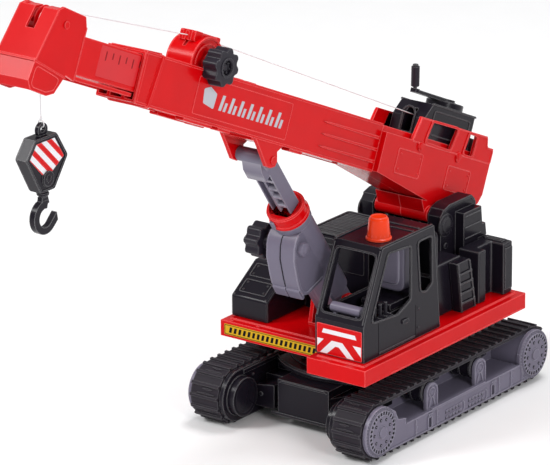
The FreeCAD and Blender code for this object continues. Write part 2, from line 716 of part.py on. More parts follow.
def make_gear_housing():
    """The round housing of the telescoping gear, with the line's guide on top."""
    body = new_body("telescope_gear_housing", BOOM)
    s, u = number(dim.knob_along), number(dim.knob_up)
    radius, floor = number(dim.drum_radius), number(dim.guide_radius)
    low = math.asin((number(dim.tube_high) - u) / radius)
    turn = math.pi - 2 * low
    drum = [(s + radius * math.cos(low + turn * i / 24), u + radius * math.sin(low + turn * i / 24))
            for i in range(25)]
    pad(body, YZ, -11.0, 11.0, boom_outline(drum))
    top = u + radius
    rear, front = s + CLIP_REAR, s + CLIP_FRONT
    clip = [(front, top - CLIP_DROP), (front, top + CLIP_RISE), (rear, top + CLIP_RISE),
            (rear, top - CLIP_DROP)]
    pad(body, YZ, -4.0, 4.0, boom_outline(clip))
    pad(body, YZ, 11.0, 17.0, ((-dim.knob_along, dim.knob_up), 5.5))
    pocket(body, YZ, -8.0, 8.0, ((-dim.knob_along, dim.knob_up), 11.0))
    pocket(body, YZ, 8.0, 17.0, ((-dim.knob_along, dim.knob_up), dim.pin_radius + dim.running_gap))
    angles = [math.radians(150 - 6 * i) for i in range(21)]
    bed = [(s + floor * math.cos(a), u + floor * math.sin(a)) for a in angles]
    groove = [(front + 1, top + 0.6), (rear - 1, top + 0.6), (rear - 1, bed[0][1])]
    pocket(body, YZ, -1.2, 1.2, boom_outline(groove + bed + [(front + 1, bed[0][1])]))


def make_cylinder_bracket():
    """The red bracket under the boom that holds the head of the cylinder's rod."""
    body = new_body("cylinder_bracket", BOOM)
    for side in (LEFT, RIGHT):
        pad(body, YZ, *span(side, *BRACKET_EARS), boom_outline(BRACKET_SIDE))
    base = boom_outline([(243, 17.3), (243, 19.5), (206, 19.5), (206, 17.3)])
    pad(body, YZ, -BRACKET_EARS[0], BRACKET_EARS[0], base)
    for side in (LEFT, RIGHT):
        pocket(body, YZ, *span(side, *BRACKET_EARS),
               ((-dim.rod_pin_along, dim.rod_pin_up), dim.pin_radius))


def make_boom_fasteners():
    pin = headed_pin(BRACKET_EARS[1], -number(dim.rod_pin_along), number(dim.rod_pin_up),
                     dim.pin_radius, 3.2)
    screws = [pin]
    for side in (LEFT, RIGHT):
        for s, u in ((34.1, 47), (-22.0, 47)):
            start, end = (side * 22.0, -s, u), (side * 23.4, -s, u)
            screws.append(cylinder_between(start, end, 2.6))
    for s in (352.0, 300.0, 190.0, 110.0):
        low = number(dim.tube_low)
        screws.append(cylinder_between((0, -s, low - 1.3), (0, -s, low), 2.4))
    group("boom_fasteners", BOOM, screws)


# ------------------------------------------------------------------ telescope and head

HEAD_CHEEK = [(471.5, 22), (470.5, 60), (474, 67), (500, 69), (505.5, 66), (518, 28.5),
              (520.5, 14), (515.5, 8), (497, 7), (489, 10), (481, 24)]
HEAD_HALF, CHEEK_THICK = 17.0, 2.1
FRONT_PLATE = [(505.5, 66.0), (518.0, 28.5), (516.2, 27.8), (504.2, 63.9), (497.0, 66.2),
               (497.4, 68.2)]
PLATE_SLOT = [(496.0, 70.0), (496.0, 50.0), (514.0, 50.0), (514.0, 70.0)]
PLATE_SLOT_HALF = 3.7
FRONT_LOBE = [(518.0, 28.5), (520.5, 14), (515.5, 8), (513.7, 9), (518.4, 14.4), (516.2, 27.8)]
FOREBOOM_FRONT = 480.0
PINION_RADIUS = 7.6
PINION_TEETH = 18
TEETH_AHEAD = 61
TOOTH_RISE = 0.9
RACK_DROP = 1.2


def make_inner_boom():
    """The sliding section: a square tube with a groove for the rack along its top."""
    body = new_body("inner_boom", BOOM)
    gap = dim.inner_gap
    half = dim.tube_half - dim.tube_wall - gap
    low = dim.inner_low
    high = dim.tube_high - dim.tube_wall - gap
    pad(body, YZ, -half, half, rectangle(-FOREBOOM_FRONT, low, -dim.inner_rear, high))
    pocket(body, YZ, -half + 2.0, half - 2.0,
           rectangle(-FOREBOOM_FRONT, low + 2.0, -dim.inner_rear, high - 5.0))
    pocket(body, YZ, -3.4, 3.4, rectangle(-FOREBOOM_FRONT, high - 2.6, -dim.inner_rear, high))
    rack = new_body("telescope_rack", BOOM)
    pad(rack, YZ, -3.4, 3.4,
        rectangle(-FOREBOOM_FRONT, high - 2.6, -dim.inner_rear, high - RACK_DROP))
    pitch = 2 * math.pi * PINION_RADIUS / PINION_TEETH
    start = -number(dim.knob_along) - (TEETH_AHEAD - 0.25) * pitch
    count = int((-number(dim.inner_rear) - start - 2) / pitch)
    tooth = number(high) - RACK_DROP
    first = pad(rack, YZ, -3.4, 3.4,
                rectangle(start, tooth, start + pitch / 2, tooth + TOOTH_RISE))
    row = rack.newObject("PartDesign::LinearPattern", "Teeth")
    row.Originals = [first]
    row.Direction = (origin_plane(rack, "Y_Axis"), [""])
    row.Length = pitch * (count - 1)
    row.Occurrences = count
    rack.Tip = row
    doc.recompute()


def make_boom_head():
    """The head: two cheeks joined by a folded front plate with a slot for the line."""
    body = new_body("boom_head", BOOM)
    for side in (LEFT, RIGHT):
        pad(body, YZ, *span(side, HEAD_HALF - CHEEK_THICK, HEAD_HALF), boom_outline(HEAD_CHEEK))
    inner_half = HEAD_HALF - CHEEK_THICK
    pad(body, YZ, -inner_half, inner_half, boom_outline(FRONT_PLATE))
    pad(body, YZ, -inner_half, inner_half, boom_outline(FRONT_LOBE))
    pocket(body, YZ, -PLATE_SLOT_HALF, PLATE_SLOT_HALF, boom_outline(PLATE_SLOT))
    joint = boom_outline([(480.2, 22.2), (480.2, 51), (482.2, 51), (482.2, 22.2)])
    pad(body, YZ, -inner_half, inner_half, joint)
    for side in (LEFT, RIGHT):
        pocket(body, YZ, *span(side, inner_half, HEAD_HALF),
               ((-dim.sheave_along, dim.sheave_up), dim.pin_radius))


def make_sheave():
    body = new_body("head_sheave", BOOM * Placement(
        Vector(0, -number(dim.sheave_along), number(dim.sheave_up)), Rotation(Y_AXIS, 90)))
    groove, bore = dim.sheave_groove, dim.pin_radius + dim.running_gap
    flange = groove + 2.4
    turned(body, XZ, [(bore, -3.2), (flange, -3.2), (flange, -2.4), (groove, -0.9),
                      (groove, 0.9), (flange, 2.4), (flange, 3.2), (bore, 3.2)])
    reach = HEAD_HALF
    pin = headed_pin(reach, -number(dim.sheave_along), number(dim.sheave_up), dim.pin_radius, 2.8)
    group("sheave_pin", BOOM, [pin])


# ------------------------------------------------------------------ knobs, winch, luffing cylinder

def lobed(radius, depth, lobes, steps):
    """Outline of a hand knob whose rim waves in and out."""
    points = []
    for i in range(lobes * steps):
        angle = 2 * math.pi * i / (lobes * steps)
        reach = radius - depth * (0.5 - 0.5 * math.cos(lobes * angle)) ** 1.6
        points.append((reach * math.cos(angle), reach * math.sin(angle)))
    return points


def make_telescope_knob():
    """The lobed knob with its shaft and the pinion that drives the rack."""
    middle = Vector(0, -number(dim.knob_along), number(dim.knob_up))
    body = new_body("telescope_knob", BOOM * Placement(middle, Rotation()))
    pad(body, YZ, 17.4, 30.0, lobed(14.4, 3.0, 8, 6))
    pad(body, YZ, -7.4, 17.4, ((0, 0), dim.pin_radius))
    pinion = []
    for i in range(2 * PINION_TEETH):
        reach = PINION_RADIUS + (0.5 if i % 2 else -0.6)
        angle = math.pi * i / PINION_TEETH
        pinion.append((reach * math.cos(angle), reach * math.sin(angle)))
    pad(body, YZ, -3.0, 3.0, pinion)
    pocket(body, YZ, 26.5, 30.0, ((0, 0), 5.6))
    pad(body, YZ, 26.5, 28.5, ((0, 0), 2.6))


CRANK_REACH = 45.6
HANDLE_LEAN = 22.0


def make_winch():
    """Drum, crank and the crank's turning handle, on one axis square to the boom."""
    frame = BOOM * Placement(Vector(0, -number(dim.winch_along), 0), Rotation())
    low, top = number(dim.tube_high), number(dim.winch_top)
    drum = new_body("winch_drum", frame)
    pad(drum, XY, low + 0.4, low + 2.0, ((0, 0), WELL_HALF))
    pad(drum, XY, low + 2.0, top - 6.0, ((0, 0), 9.0))
    pad(drum, XY, top - 6.0, top + 0.3, ((0, 0), WELL_HALF))
    crank = new_body("crank_arm", frame)
    pad(crank, XY, top + 0.3, top + 5.2, ((0, 0), 14.6))
    arm = [(-4.6, 0), (4.6, 0), (3.4, -CRANK_REACH), (-3.4, -CRANK_REACH)]
    pad(crank, XY, top + 5.2, top + 8.0, arm)
    pad(crank, XY, top + 5.2, top + 8.0, ((0, 0), 7.5))
    pad(crank, XY, top + 5.2, top + 8.6, ((0, -CRANK_REACH), 3.6))
    end = Placement(Vector(0, -CRANK_REACH, top + 7.0), Rotation(X_AXIS, HANDLE_LEAN))
    for low_end, high_end, radius in ((0.0, 20.0, 1.5), (20.0, 21.0, 2.2)):
        sketch = attached_sketch(crank, XY, 0)
        sketch.AttachmentOffset = end * Placement(Vector(0, 0, low_end), Rotation())
        draw_circle(sketch, (0, 0), radius)
        pin = crank.newObject("PartDesign::Pad", "Pin")
        pin.Profile = sketch
        pin.Length = high_end - low_end
        doc.recompute()
    handle = new_body("crank_handle", frame * end)
    pad(handle, XY, 3.4, 19.6, ((0, 0), 3.3))
    pocket(handle, XY, 3.4, 19.6, ((0, 0), 1.5 + number(dim.running_gap)))


TUBE_MIDDLE, TUBE_RADIUS, TUBE_START, TUBE_END = 3.0, 14.5, 13.0, 99.0
COLLAR_RADIUS, COLLAR_START, COLLAR_END = 15.3, 99.0, 110.0
EYE_SIDE = [(-9.5, -6), (-9.5, 20), (9.5, 20), (9.5, -6), (5, -9.5), (-5, -9.5)]
BULGE_SIDE = [(-9, 94), (-14.5, 92.5), (-19.5, 88.8), (-25.4, 81), (-31, 66), (-33.4, 58),
              (-32.8, 50), (-28, 46), (-8, 41), (4, 50), (4, 90)]
EYE_HALF, BULGE_HALF, ROD_EYE_HALF = 11.0, 12.5, 13.4
CHANNEL_HALF, CHANNEL_FRONT, CHANNEL_REAR, CHANNEL_START = 9.0, -6.0, 11.6, 16.0
ROD_HALF, ROD_FRONT, ROD_REAR, ROD_REACH = 8.7, -2.6, 9.6, 128.0
KNOB_PLACE = (-13.0, 82.0)
CELL_PITCH, CELL_COUNT = 9.6, 11


def half_disc(radius, side):
    """Half of the housing's round section, on one side of the seam."""
    turns = [math.pi * (i / 16 - 0.5) for i in range(17)]
    points = [(side * radius * math.cos(a), TUBE_MIDDLE + radius * math.sin(a)) for a in turns]
    return points if side == LEFT else points[::-1]


def make_cylinder():
    """The grey housing in two halves, its red collar, the ladder rod and the hand knob."""
    bore = dim.pin_radius + dim.running_gap
    for name, side in SIDES:
        body = new_body("cylinder_housing_" + name, CYLINDER)
        pad(body, XY, TUBE_START, TUBE_END, half_disc(TUBE_RADIUS, side))
        pad(body, YZ, *span(side, 0.0, EYE_HALF), EYE_SIDE)
        pad(body, YZ, *span(side, 0.0, BULGE_HALF), BULGE_SIDE)
        if side == LEFT:
            pad(body, YZ, BULGE_HALF, BULGE_HALF + 3.5, (KNOB_PLACE, 4.6))
        pocket(body, YZ, *span(side, 0.0, EYE_HALF), ((0, 0), bore))
        channel = rectangle(CHANNEL_FRONT, CHANNEL_START, CHANNEL_REAR, TUBE_END)
        pocket(body, YZ, *span(side, 0.0, CHANNEL_HALF), channel)
        pocket(body, YZ, *span(side, 0.0, BULGE_HALF), (KNOB_PLACE, bore))
    collar = new_body("cylinder_collar", CYLINDER)
    pad(collar, XY, COLLAR_START, COLLAR_END, ((0, TUBE_MIDDLE), COLLAR_RADIUS))
    mouth = rectangle(-CHANNEL_HALF, CHANNEL_FRONT, CHANNEL_HALF, CHANNEL_REAR)
    pocket(collar, XY, COLLAR_START, COLLAR_END, mouth)
    knob = new_body("luff_knob", CYLINDER * Placement(Vector(0, *KNOB_PLACE), Rotation()))
    pad(knob, YZ, -32.0, -19.0, lobed(13.8, 2.8, 8, 6))
    pad(knob, YZ, -19.0, 12.2, ((0, 0), dim.pin_radius))
    pad(knob, YZ, -19.0, -12.9, ((0, 0), 5.0))
    rod = new_body("cylinder_rod", CYLINDER * Placement(Vector(0, 0, CYLINDER_LENGTH), Rotation()))
    pad(rod, YZ, -ROD_HALF, ROD_HALF, rectangle(ROD_FRONT, -ROD_REACH, ROD_REAR, -14))
    pad(rod, YZ, -ROD_HALF, ROD_HALF, [(-8.6, -18), (ROD_REAR, -14), (5.0, 0), (-5.0, 0), (-8.6, -8)])
    pad(rod, YZ, -ROD_EYE_HALF, ROD_EYE_HALF, ((0, 0), 5.6))
    pocket(rod, YZ, -ROD_EYE_HALF, ROD_EYE_HALF, ((0, 0), bore))
    cells = [rectangle(-0.2, -24.0 - CELL_PITCH * i, 7.6, -17.0 - CELL_PITCH * i)
             for i in range(CELL_COUNT)]
    strip = rectangle(-7.6, -ROD_REACH + 4, -1.8, -19)
    pocket(rod, XZ, -ROD_FRONT - 4.0, -ROD_FRONT, strip, *cells)


# ------------------------------------------------------------------ hook and hoist line

BLOCK_SIDE = [(10.5, -7.3), (-12.5, -7.3), (-22.7, -20.2), (-8.0, -47.0), (7.0, -47.0),
              (22.0, -26.0)]
BLOCK_HALF = 4.6
# the loop at the end of the line, which passes through the eye of the block
LOOP_RADIUS, LOOP_RISE = 2.5, 0.7


def make_hook_block():
    """The block with its lifting eye, and the hook that swivels below it."""
    frame = GROUND * Placement(Vector(0, HOOK_Y, number(dim.knot_z)), Rotation())
    block = new_body("hook_block", frame)
    pad(block, YZ, -BLOCK_HALF, BLOCK_HALF, BLOCK_SIDE)
    pad(block, YZ, -1.6, 1.6, ((0, -3.6), 5.2))
    pocket(block, YZ, -1.6, 1.6, ((0, -2.6), 2.4))
    pad(block, YZ, -BLOCK_HALF - 1.4, BLOCK_HALF + 1.4, ((0, -38.0), 5.6))
    pocket(block, XY, -47.0, -44.0, ((0, 0), 3.2))
    hook = new_body("hook", frame)
    pad(hook, XY, -52.0, -44.3, ((0, 0), 3.0))
    throat = (0.0, -67.0)
    outer, inner = 12.4, 6.4
    curve = []
    for i in range(19):
        angle = math.radians(75 + 240 * i / 18)
        curve.append((throat[0] + outer * math.cos(angle), throat[1] + outer * math.sin(angle)))
    tip = []
    for i in range(19):
        angle = math.radians(315 - 240 * i / 18)
        reach = inner + 1.2 * (1 - i / 18.0)
        tip.append((throat[0] + reach * math.cos(angle), throat[1] + reach * math.sin(angle)))
    pad(hook, YZ, -2.4, 2.4, curve + [(13.2, -72.0), (12.0, -66.0)] + tip)
    pad(hook, YZ, -2.2, 2.2, [(-3.0, -52.0), (3.0, -52.0), (4.4, -57.0), (-4.4, -60.0)])
    loop = Part.makeTorus(LOOP_RADIUS, number(dim.line_radius), Vector(0, 0, LOOP_RISE), Y_AXIS)
    group("line_knot", frame, [loop])


LINE_START_UP = 71.2


def tube_along(points, radii):
    """A cord's solid: straight runs joined by tangent arcs of the given radii."""
    flat = [Vector(*p) for p in points]
    edges, here = [], flat[0]
    for i in range(1, len(flat) - 1):
        a, b, c = flat[i - 1], flat[i], flat[i + 1]
        into = (b - a).normalize()
        out = (c - b).normalize()
        turn = into.getAngle(out)
        radius = radii[i - 1]
        setback = radius * math.tan(turn / 2)
        start, end = b - into * setback, b + out * setback
        side = (out - into).normalize()
        middle = b + side * (radius / math.cos(turn / 2) - radius)
        if here.distanceToPoint(start) > 0.001:
            edges.append(Part.LineSegment(here, start).toShape())
        edges.append(Part.Arc(start, middle, end).toShape())
        print("cord bend radius %.1f mm, turn %.0f degrees" % (radius, math.degrees(turn)))
        here = end
    edges.append(Part.LineSegment(here, flat[-1]).toShape())
    wire = Part.Wire(edges)
    start = (flat[1] - flat[0]).normalize()
    section = Part.Wire(Part.Circle(flat[0], start, number(dim.line_radius)).toShape())
    tube = wire.makePipeShell([section], True, False)
    ratio = tube.Volume / (math.pi * number(dim.line_radius) ** 2 * wire.Length)
    print("cord length %.1f mm, volume over section times length %.3f" % (wire.Length, ratio))
    return tube


def bearing(start, end):
    return math.atan2(end[1] - start[1], end[0] - start[0])


def make_hoist_line():
    """The line in two lengths: winch to sheave, and over the sheave down to the knot."""
    start = (number(dim.winch_along) + 9.5, LINE_START_UP)
    guide = (number(dim.knob_along), number(dim.knob_up))
    sheave = (number(dim.sheave_along), number(dim.sheave_up))
    bed = number(dim.guide_radius) + number(dim.line_radius)
    climb = bearing(start, guide) + math.asin(bed / math.dist(start, guide))
    fall = bearing(guide, sheave) - math.asin((bed - LINE_REACH) / math.dist(guide, sheave))
    crown, out = (climb + fall) / 2, bed / math.cos((climb - fall) / 2)
    corner = (guide[0] - out * math.sin(crown), guide[1] + out * math.cos(crown))
    touch = (sheave[0] - LINE_REACH * math.sin(fall), sheave[1] + LINE_REACH * math.cos(fall))
    route = [(0, *boom_point(*place)) for place in (start, corner, touch)]
    print("line route", [[round(value, 3) for value in point] for point in route])
    group("hoist_line_top", GROUND, [tube_along(route, [bed])])
    rise = math.radians(number(dim.boom_angle)) + fall
    half_turn = (rise + math.pi / 2) / 2
    setback = LINE_REACH * math.tan(half_turn / 2)
    first = [0, route[-1][1] - setback * math.cos(rise), route[-1][2] + setback * math.sin(rise)]
    slope = rise - half_turn
    second = [0, first[1] - 2 * setback * math.cos(slope), first[2] + 2 * setback * math.sin(slope)]
    loop_top = number(dim.knot_z) + LOOP_RISE + LOOP_RADIUS + number(dim.line_radius)
    drop = [route[-1], first, second, (0, HOOK_Y, loop_top)]
    print("drop route", [[round(value, 3) for value in point] for point in drop])
    group("hoist_line_drop", GROUND, [tube_along(drop, [LINE_REACH, LINE_REACH])])


# ------------------------------------------------------------------ the whole model

def make_everything():
    make_carbody()
    make_turntable_base()
    make_slew_spigot()
    make_undercarriage_screws()
    for name, side in SIDES:
        make_belt(name, side)
        make_track_frame(name, side)
        make_inner_cover(name, side)
        for end, place in zip(("front", "rear"), wheel_places()):
            make_wheel("%s_wheel_%s" % (end, name), side, place)
        for end, place in zip(("front", "rear"), roller_places()):
            make_roller("%s_roller_%s" % (end, name), side, place)
        make_tower(name, side)
        make_boom_shell(name, side)
    make_axles()
    make_deck()
    make_cab_shell()
    make_cab_inside()
    make_beacon()
    make_hoods()
    make_counterweight()
    make_clevis()
    make_superstructure_pins()
    make_winch_housing()
    make_gear_housing()
    make_cylinder_bracket()
    make_boom_fasteners()
    make_inner_boom()
    make_boom_head()
    make_sheave()
    make_telescope_knob()
    make_winch()
    make_cylinder()
    make_hook_block()
    make_hoist_line()


def check_and_export():
    for thing in doc.Objects:
        if "Invalid" in thing.State or "Error" in thing.State:
            raise ValueError("%s failed" % thing.Label)
    os.makedirs("parts", exist_ok=True)
    for node in nodes:
        shape = node.Shape
        if shape.isNull() or not shape.isValid():
            raise ValueError("%s has no valid shape" % node.Label)
        shape.exportStep("parts/%s.step" % node.Label)
        print(node.Label, len(shape.Solids), round(shape.Volume / 1000, 2), "cm3")
    print(len(nodes), "nodes")


make_everything()
doc.recompute()
check_and_export()
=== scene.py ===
"""Looks of the toy crawler crane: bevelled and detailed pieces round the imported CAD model.

Lengths are written in millimetres and scaled once, when a mesh is made. Ground pieces are drawn
round the slewing axis, boom pieces round the boom's pivot (x, -along, up), cylinder pieces round
its lower pin (x, rearwards, along) and hook pieces round the knot of the line.
"""
import bpy
import bmesh
import json
import math
from mathutils import Matrix, Vector


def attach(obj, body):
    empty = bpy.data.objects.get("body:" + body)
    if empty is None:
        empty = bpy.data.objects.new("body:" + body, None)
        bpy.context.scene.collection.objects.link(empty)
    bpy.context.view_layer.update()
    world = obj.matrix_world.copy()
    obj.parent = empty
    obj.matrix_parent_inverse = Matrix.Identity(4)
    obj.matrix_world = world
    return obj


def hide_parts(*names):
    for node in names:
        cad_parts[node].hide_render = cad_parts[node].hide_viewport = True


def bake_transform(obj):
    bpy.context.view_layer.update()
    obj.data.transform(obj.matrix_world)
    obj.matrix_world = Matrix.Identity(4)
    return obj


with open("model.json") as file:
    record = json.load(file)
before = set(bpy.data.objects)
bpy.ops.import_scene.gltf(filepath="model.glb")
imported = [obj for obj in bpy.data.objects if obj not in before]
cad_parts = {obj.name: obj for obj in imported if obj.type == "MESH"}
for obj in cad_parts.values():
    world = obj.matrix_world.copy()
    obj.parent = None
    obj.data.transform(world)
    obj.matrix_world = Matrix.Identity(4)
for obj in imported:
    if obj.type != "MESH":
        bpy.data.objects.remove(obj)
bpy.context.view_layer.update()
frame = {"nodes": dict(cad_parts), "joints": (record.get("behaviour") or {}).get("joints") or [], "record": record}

MM = 0.001
X = Vector((1, 0, 0))
LEFT, RIGHT = 1, -1
SIDES = (("left", LEFT), ("right", RIGHT))
joints = {joint["name"]: joint for joint in frame["joints"]}


def joint_place(name):
    return Vector(joints[name]["pos_m"])


def frame_at(origin, y_axis, z_axis):
    """Matrix whose columns are X, the two given directions and the origin."""
    matrix = Matrix((X, y_axis, z_axis)).transposed().to_4x4()
    matrix.translation = origin
    return matrix


SLEW_Y = joint_place("slew").y
GROUND = Matrix.Translation((0, SLEW_Y, 0))
ALONG = Vector(joints["telescope"]["axis"])
BOOM = frame_at(joint_place("luff"), -ALONG, X.cross(-ALONG))
ROD_WAY = (joint_place("luff_rod_tilt") - joint_place("luff_housing_tilt")).normalized()
CYLINDER = frame_at(joint_place("luff_housing_tilt"), ROD_WAY.cross(X), ROD_WAY)
KNOT_RISE = 2.6
HOOK = Matrix.Translation(joint_place("block_swing") + Vector((0, 0, KNOT_RISE * MM)))

# ------------------------------------------------------------------ camera

CAMERA_AZIMUTH, CAMERA_ELEVATION, CAMERA_ROLL = 36.78, 18.84, -0.41
CAMERA_TARGET = Vector((-87.57, -5.17, 120.0)) * MM + Vector((0, SLEW_Y, 0))
CAMERA_DISTANCE = 3.51187
PICTURE_WIDTH = 550.0
FOCAL_PIXELS = 4502.4
SENSOR_WIDTH = 36.0


def make_camera():
    """A camera that looks at its target along an azimuth and an elevation, a little rolled."""
    data = bpy.data.cameras.new("camera")
    data.sensor_width = SENSOR_WIDTH
    data.lens = FOCAL_PIXELS * SENSOR_WIDTH / PICTURE_WIDTH
    data.clip_start, data.clip_end = 0.1, 50.0
    camera = bpy.data.objects.new("camera", data)
    azimuth, tilt, roll = (
        Matrix.Rotation(math.radians(angle), 4, axis)
        for angle, axis in ((CAMERA_AZIMUTH, "Z"), (90 - CAMERA_ELEVATION, "X"), (CAMERA_ROLL, "Z")))
    camera.matrix_world = (Matrix.Translation(CAMERA_TARGET) @ azimuth @ tilt @ roll
                           @ Matrix.Translation((0, 0, CAMERA_DISTANCE)))
    bpy.context.scene.collection.objects.link(camera)
    bpy.context.scene.camera = camera


# ------------------------------------------------------------------ materials

CLOUD_SCALE = 38.0
GLOSS_SPREAD = (0.8, 1.25)
# Painted highlight along edges: the lighter tint, and the turn of the normal where it starts and where it is full.
HIGHLIGHT_FACTOR, HIGHLIGHT_LIFT = 1.3, 0.2
EDGE_RADIUS = 1.1
HIGHLIGHT_START_DOT, HIGHLIGHT_FULL_DOT = 0.98, 0.88
GRAIN_DEPTH = 0.4


def add_node(tree, kind, inputs, **settings):
    """A shader node whose inputs are values or the sockets of other nodes."""
    node = tree.nodes.new("ShaderNode" + kind)
    for name, value in settings.items():
        setattr(node, name, value)
    for name, value in inputs.items():
        if isinstance(value, bpy.types.NodeSocket):
            tree.links.new(value, node.inputs[name])
        else:
            node.inputs[name].default_value = value
    return node.outputs


def tinted(colour, factor, lift=0.0):
    return *(min(1, c * factor + lift) for c in colour), 1


def moulded(name, colour, roughness, grain=900.0, bump=0.06, edge_highlight=0.12, specular=0.5,
            mottle=0.1):
    """Moulded plastic: a faint grain, uneven gloss and a painted highlight that makes the edges lighter."""
    material = bpy.data.materials.new(name)
    material.use_nodes = True
    tree = material.node_tree
    shader = tree.nodes["Principled BSDF"]
    shader.inputs["Specular IOR Level"].default_value = specular
    place = add_node(tree, "TexCoord", {})["Object"]
    clouds = add_node(tree, "TexNoise", {"Vector": place, "Scale": CLOUD_SCALE, "Detail": 4.0})["Fac"]
    gloss = add_node(tree, "MapRange", {"Value": clouds, "To Min": roughness * GLOSS_SPREAD[0],
                                        "To Max": roughness * GLOSS_SPREAD[1]})
    tone = add_node(tree, "Mix", {"Factor": clouds, "A": tinted(colour, 1 - mottle),
                                  "B": tinted(colour, 1 + mottle)}, data_type="RGBA")
    # Painted highlight: near edges, where the rounded normal turns away from the flat one, the colour is mixed
    # towards a lighter tint.
    rounded = add_node(tree, "Bevel", {"Radius": EDGE_RADIUS * MM}, samples=4)["Normal"]
    true_normal = add_node(tree, "NewGeometry", {})["True Normal"]
    turning = add_node(tree, "VectorMath", {0: rounded, 1: true_normal}, operation="DOT_PRODUCT")
    highlight_share = add_node(tree, "MapRange", {"Value": turning["Value"], "From Min": HIGHLIGHT_START_DOT,
                                         "From Max": HIGHLIGHT_FULL_DOT, "To Max": edge_highlight})
    highlighted = add_node(tree, "Mix", {"Factor": highlight_share["Result"], "A": tone["Result"],
                                  "B": tinted(colour, HIGHLIGHT_FACTOR, HIGHLIGHT_LIFT)}, data_type="RGBA")
    pores = add_node(tree, "TexNoise", {"Vector": place, "Scale": grain, "Detail": 2.0})["Fac"]
    relief = add_node(tree, "Bump", {"Height": pores, "Strength": bump, "Distance": GRAIN_DEPTH * MM})
    tree.links.new(gloss["Result"], shader.inputs["Roughness"])
    tree.links.new(highlighted["Result"], shader.inputs["Base Color"])
    tree.links.new(relief["Normal"], shader.inputs["Normal"])
    return material


def printed(name, colour, roughness, specular):
    return moulded(name, colour, roughness, bump=0.02, edge_highlight=0.0, specular=specular)


RED = moulded("red_plastic", (0.62, 0.001, 0.003), 0.2, bump=0.03, edge_highlight=0.7, specular=0.13)
BLACK = moulded("black_plastic", (0.0105, 0.0085, 0.014), 0.22, bump=0.04, edge_highlight=0.8, specular=0.16)
GREY = moulded("grey_plastic", (0.155, 0.14, 0.195), 0.32, bump=0.08, edge_highlight=0.6, specular=0.22)
CHARCOAL = moulded("charcoal_plastic", (0.016, 0.013, 0.021), 0.34, bump=0.1, edge_highlight=0.4, specular=0.2)
ORANGE = moulded("orange_lens", (0.86, 0.045, 0.004), 0.2, bump=0.03, edge_highlight=0.5, specular=0.25)
RUBBER = moulded("track_rubber", (0.019, 0.015, 0.022), 0.55, grain=1500.0, bump=0.3, edge_highlight=0.35,
                 specular=0.2)
STEEL = moulded("steel", (0.45, 0.45, 0.48), 0.32, bump=0.05)
LINE = moulded("line_nylon", (0.82, 0.82, 0.84), 0.55, grain=4000.0, bump=0.4, edge_highlight=0.0)
DARK = moulded("shadow_black", (0.004, 0.004, 0.006), 0.5, bump=0.05, edge_highlight=0.0, specular=0.1)
WHITE = printed("white_print", (0.8, 0.8, 0.84), 0.35, 0.3)
YELLOW = printed("yellow_print", (0.66, 0.38, 0.004), 0.35, 0.2)
SILVER = printed("silver_print", (0.5, 0.5, 0.55), 0.35, 0.3)
DEEP_RED = printed("deep_red_print", (0.22, 0.003, 0.005), 0.3, 0.15)
# Sticker red made paler: the sticker is printed, and the paleness is partly a painted reflection.
PRINT_SHEEN_RED = printed("print_and_sheen_red", (0.62, 0.016, 0.022), 0.4, 0.3)
FLOOR = moulded("studio_white", (0.93, 0.93, 0.935), 0.8, bump=0.0, edge_highlight=0.0, mottle=0.005)
MATERIALS = {"red_plastic": RED, "black_plastic": BLACK, "grey_plastic": GREY,
             "charcoal_plastic": CHARCOAL, "orange_lens": ORANGE, "track_rubber": RUBBER,
             "steel": STEEL, "line_nylon": LINE}
SLOT_OF = {material.name: slot for slot, material in MATERIALS.items()}
SLOT_OF.update({"shadow_black": "black_plastic", "white_print": "line_nylon",
                "yellow_print": "orange_lens", "silver_print": "line_nylon",
                "deep_red_print": "red_plastic", "print_and_sheen_red": "red_plastic",
                "studio_white": "line_nylon"})
BODY_OF = {node: body for body, members in frame["record"]["behaviour"]["bodies"].items()
           for node in members}

# ------------------------------------------------------------------ mesh helpers

SMOOTH_ANGLE, BEVEL_ANGLE, FLAT_ANGLE = 35.0, 30.0, 1.0
FLATNESS_WEIGHT = 90
WELD_DISTANCE = 0.02
PLANE_ACROSS = {"X": "YZ", "Y": "XZ", "Z": "XY"}


def finished(mesh, name, body, material, bevel=0.0, smooth_angle=SMOOTH_ANGLE, ride=True):
    """Give a bmesh an object, a material, rounded edges and a body to ride on."""
    bmesh.ops.recalc_face_normals(mesh, faces=mesh.faces)
    data = bpy.data.meshes.new(name)
    mesh.to_mesh(data)
    mesh.free()
    piece = bpy.data.objects.new(name, data)
    bpy.context.scene.collection.objects.link(piece)
    data.materials.append(material)
    for face in data.polygons:
        face.use_smooth = True
    data.set_sharp_from_angle(angle=math.radians(smooth_angle))
    if bevel:
        rounding = piece.modifiers.new("rounding", "BEVEL")
        rounding.width = bevel * MM
        rounding.segments = 2
        rounding.limit_method = "ANGLE"
        rounding.angle_limit = math.radians(BEVEL_ANGLE)
        rounding.use_clamp_overlap = True
        rounding.harden_normals = True
        rounding.miter_outer = "MITER_ARC"
        flatness = piece.modifiers.new("flatness", "WEIGHTED_NORMAL")
        flatness.keep_sharp = True
        flatness.weight = FLATNESS_WEIGHT
    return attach(piece, body) if ride else piece


def rounded_node(node, material, bevel):
    """A copy of a CAD node with rounded edges, standing for it."""
    mesh = bmesh.new()
    mesh.from_mesh(frame["nodes"][node].data)
    bmesh.ops.remove_doubles(mesh, verts=mesh.verts, dist=WELD_DISTANCE * MM)
    if node not in KEPT_TRIANGLES:
        bmesh.ops.dissolve_limit(mesh, angle_limit=math.radians(FLAT_ANGLE), verts=mesh.verts,
                                 edges=mesh.edges)
    piece = finished(mesh, node + "_moulding", BODY_OF[node], material, bevel)
    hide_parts(node)
    return piece


def placed(point, level, plane):
    """A point of an outline in one of the frame's planes, at a level square to it."""
    if plane == "YZ":
        return level, point[0], point[1]
    if plane == "XZ":
        return point[0], level, point[1]
    return point[0], point[1], level


def moved(frame_matrix, place):
    return frame_matrix @ Matrix.Translation(Vector(place) * MM)


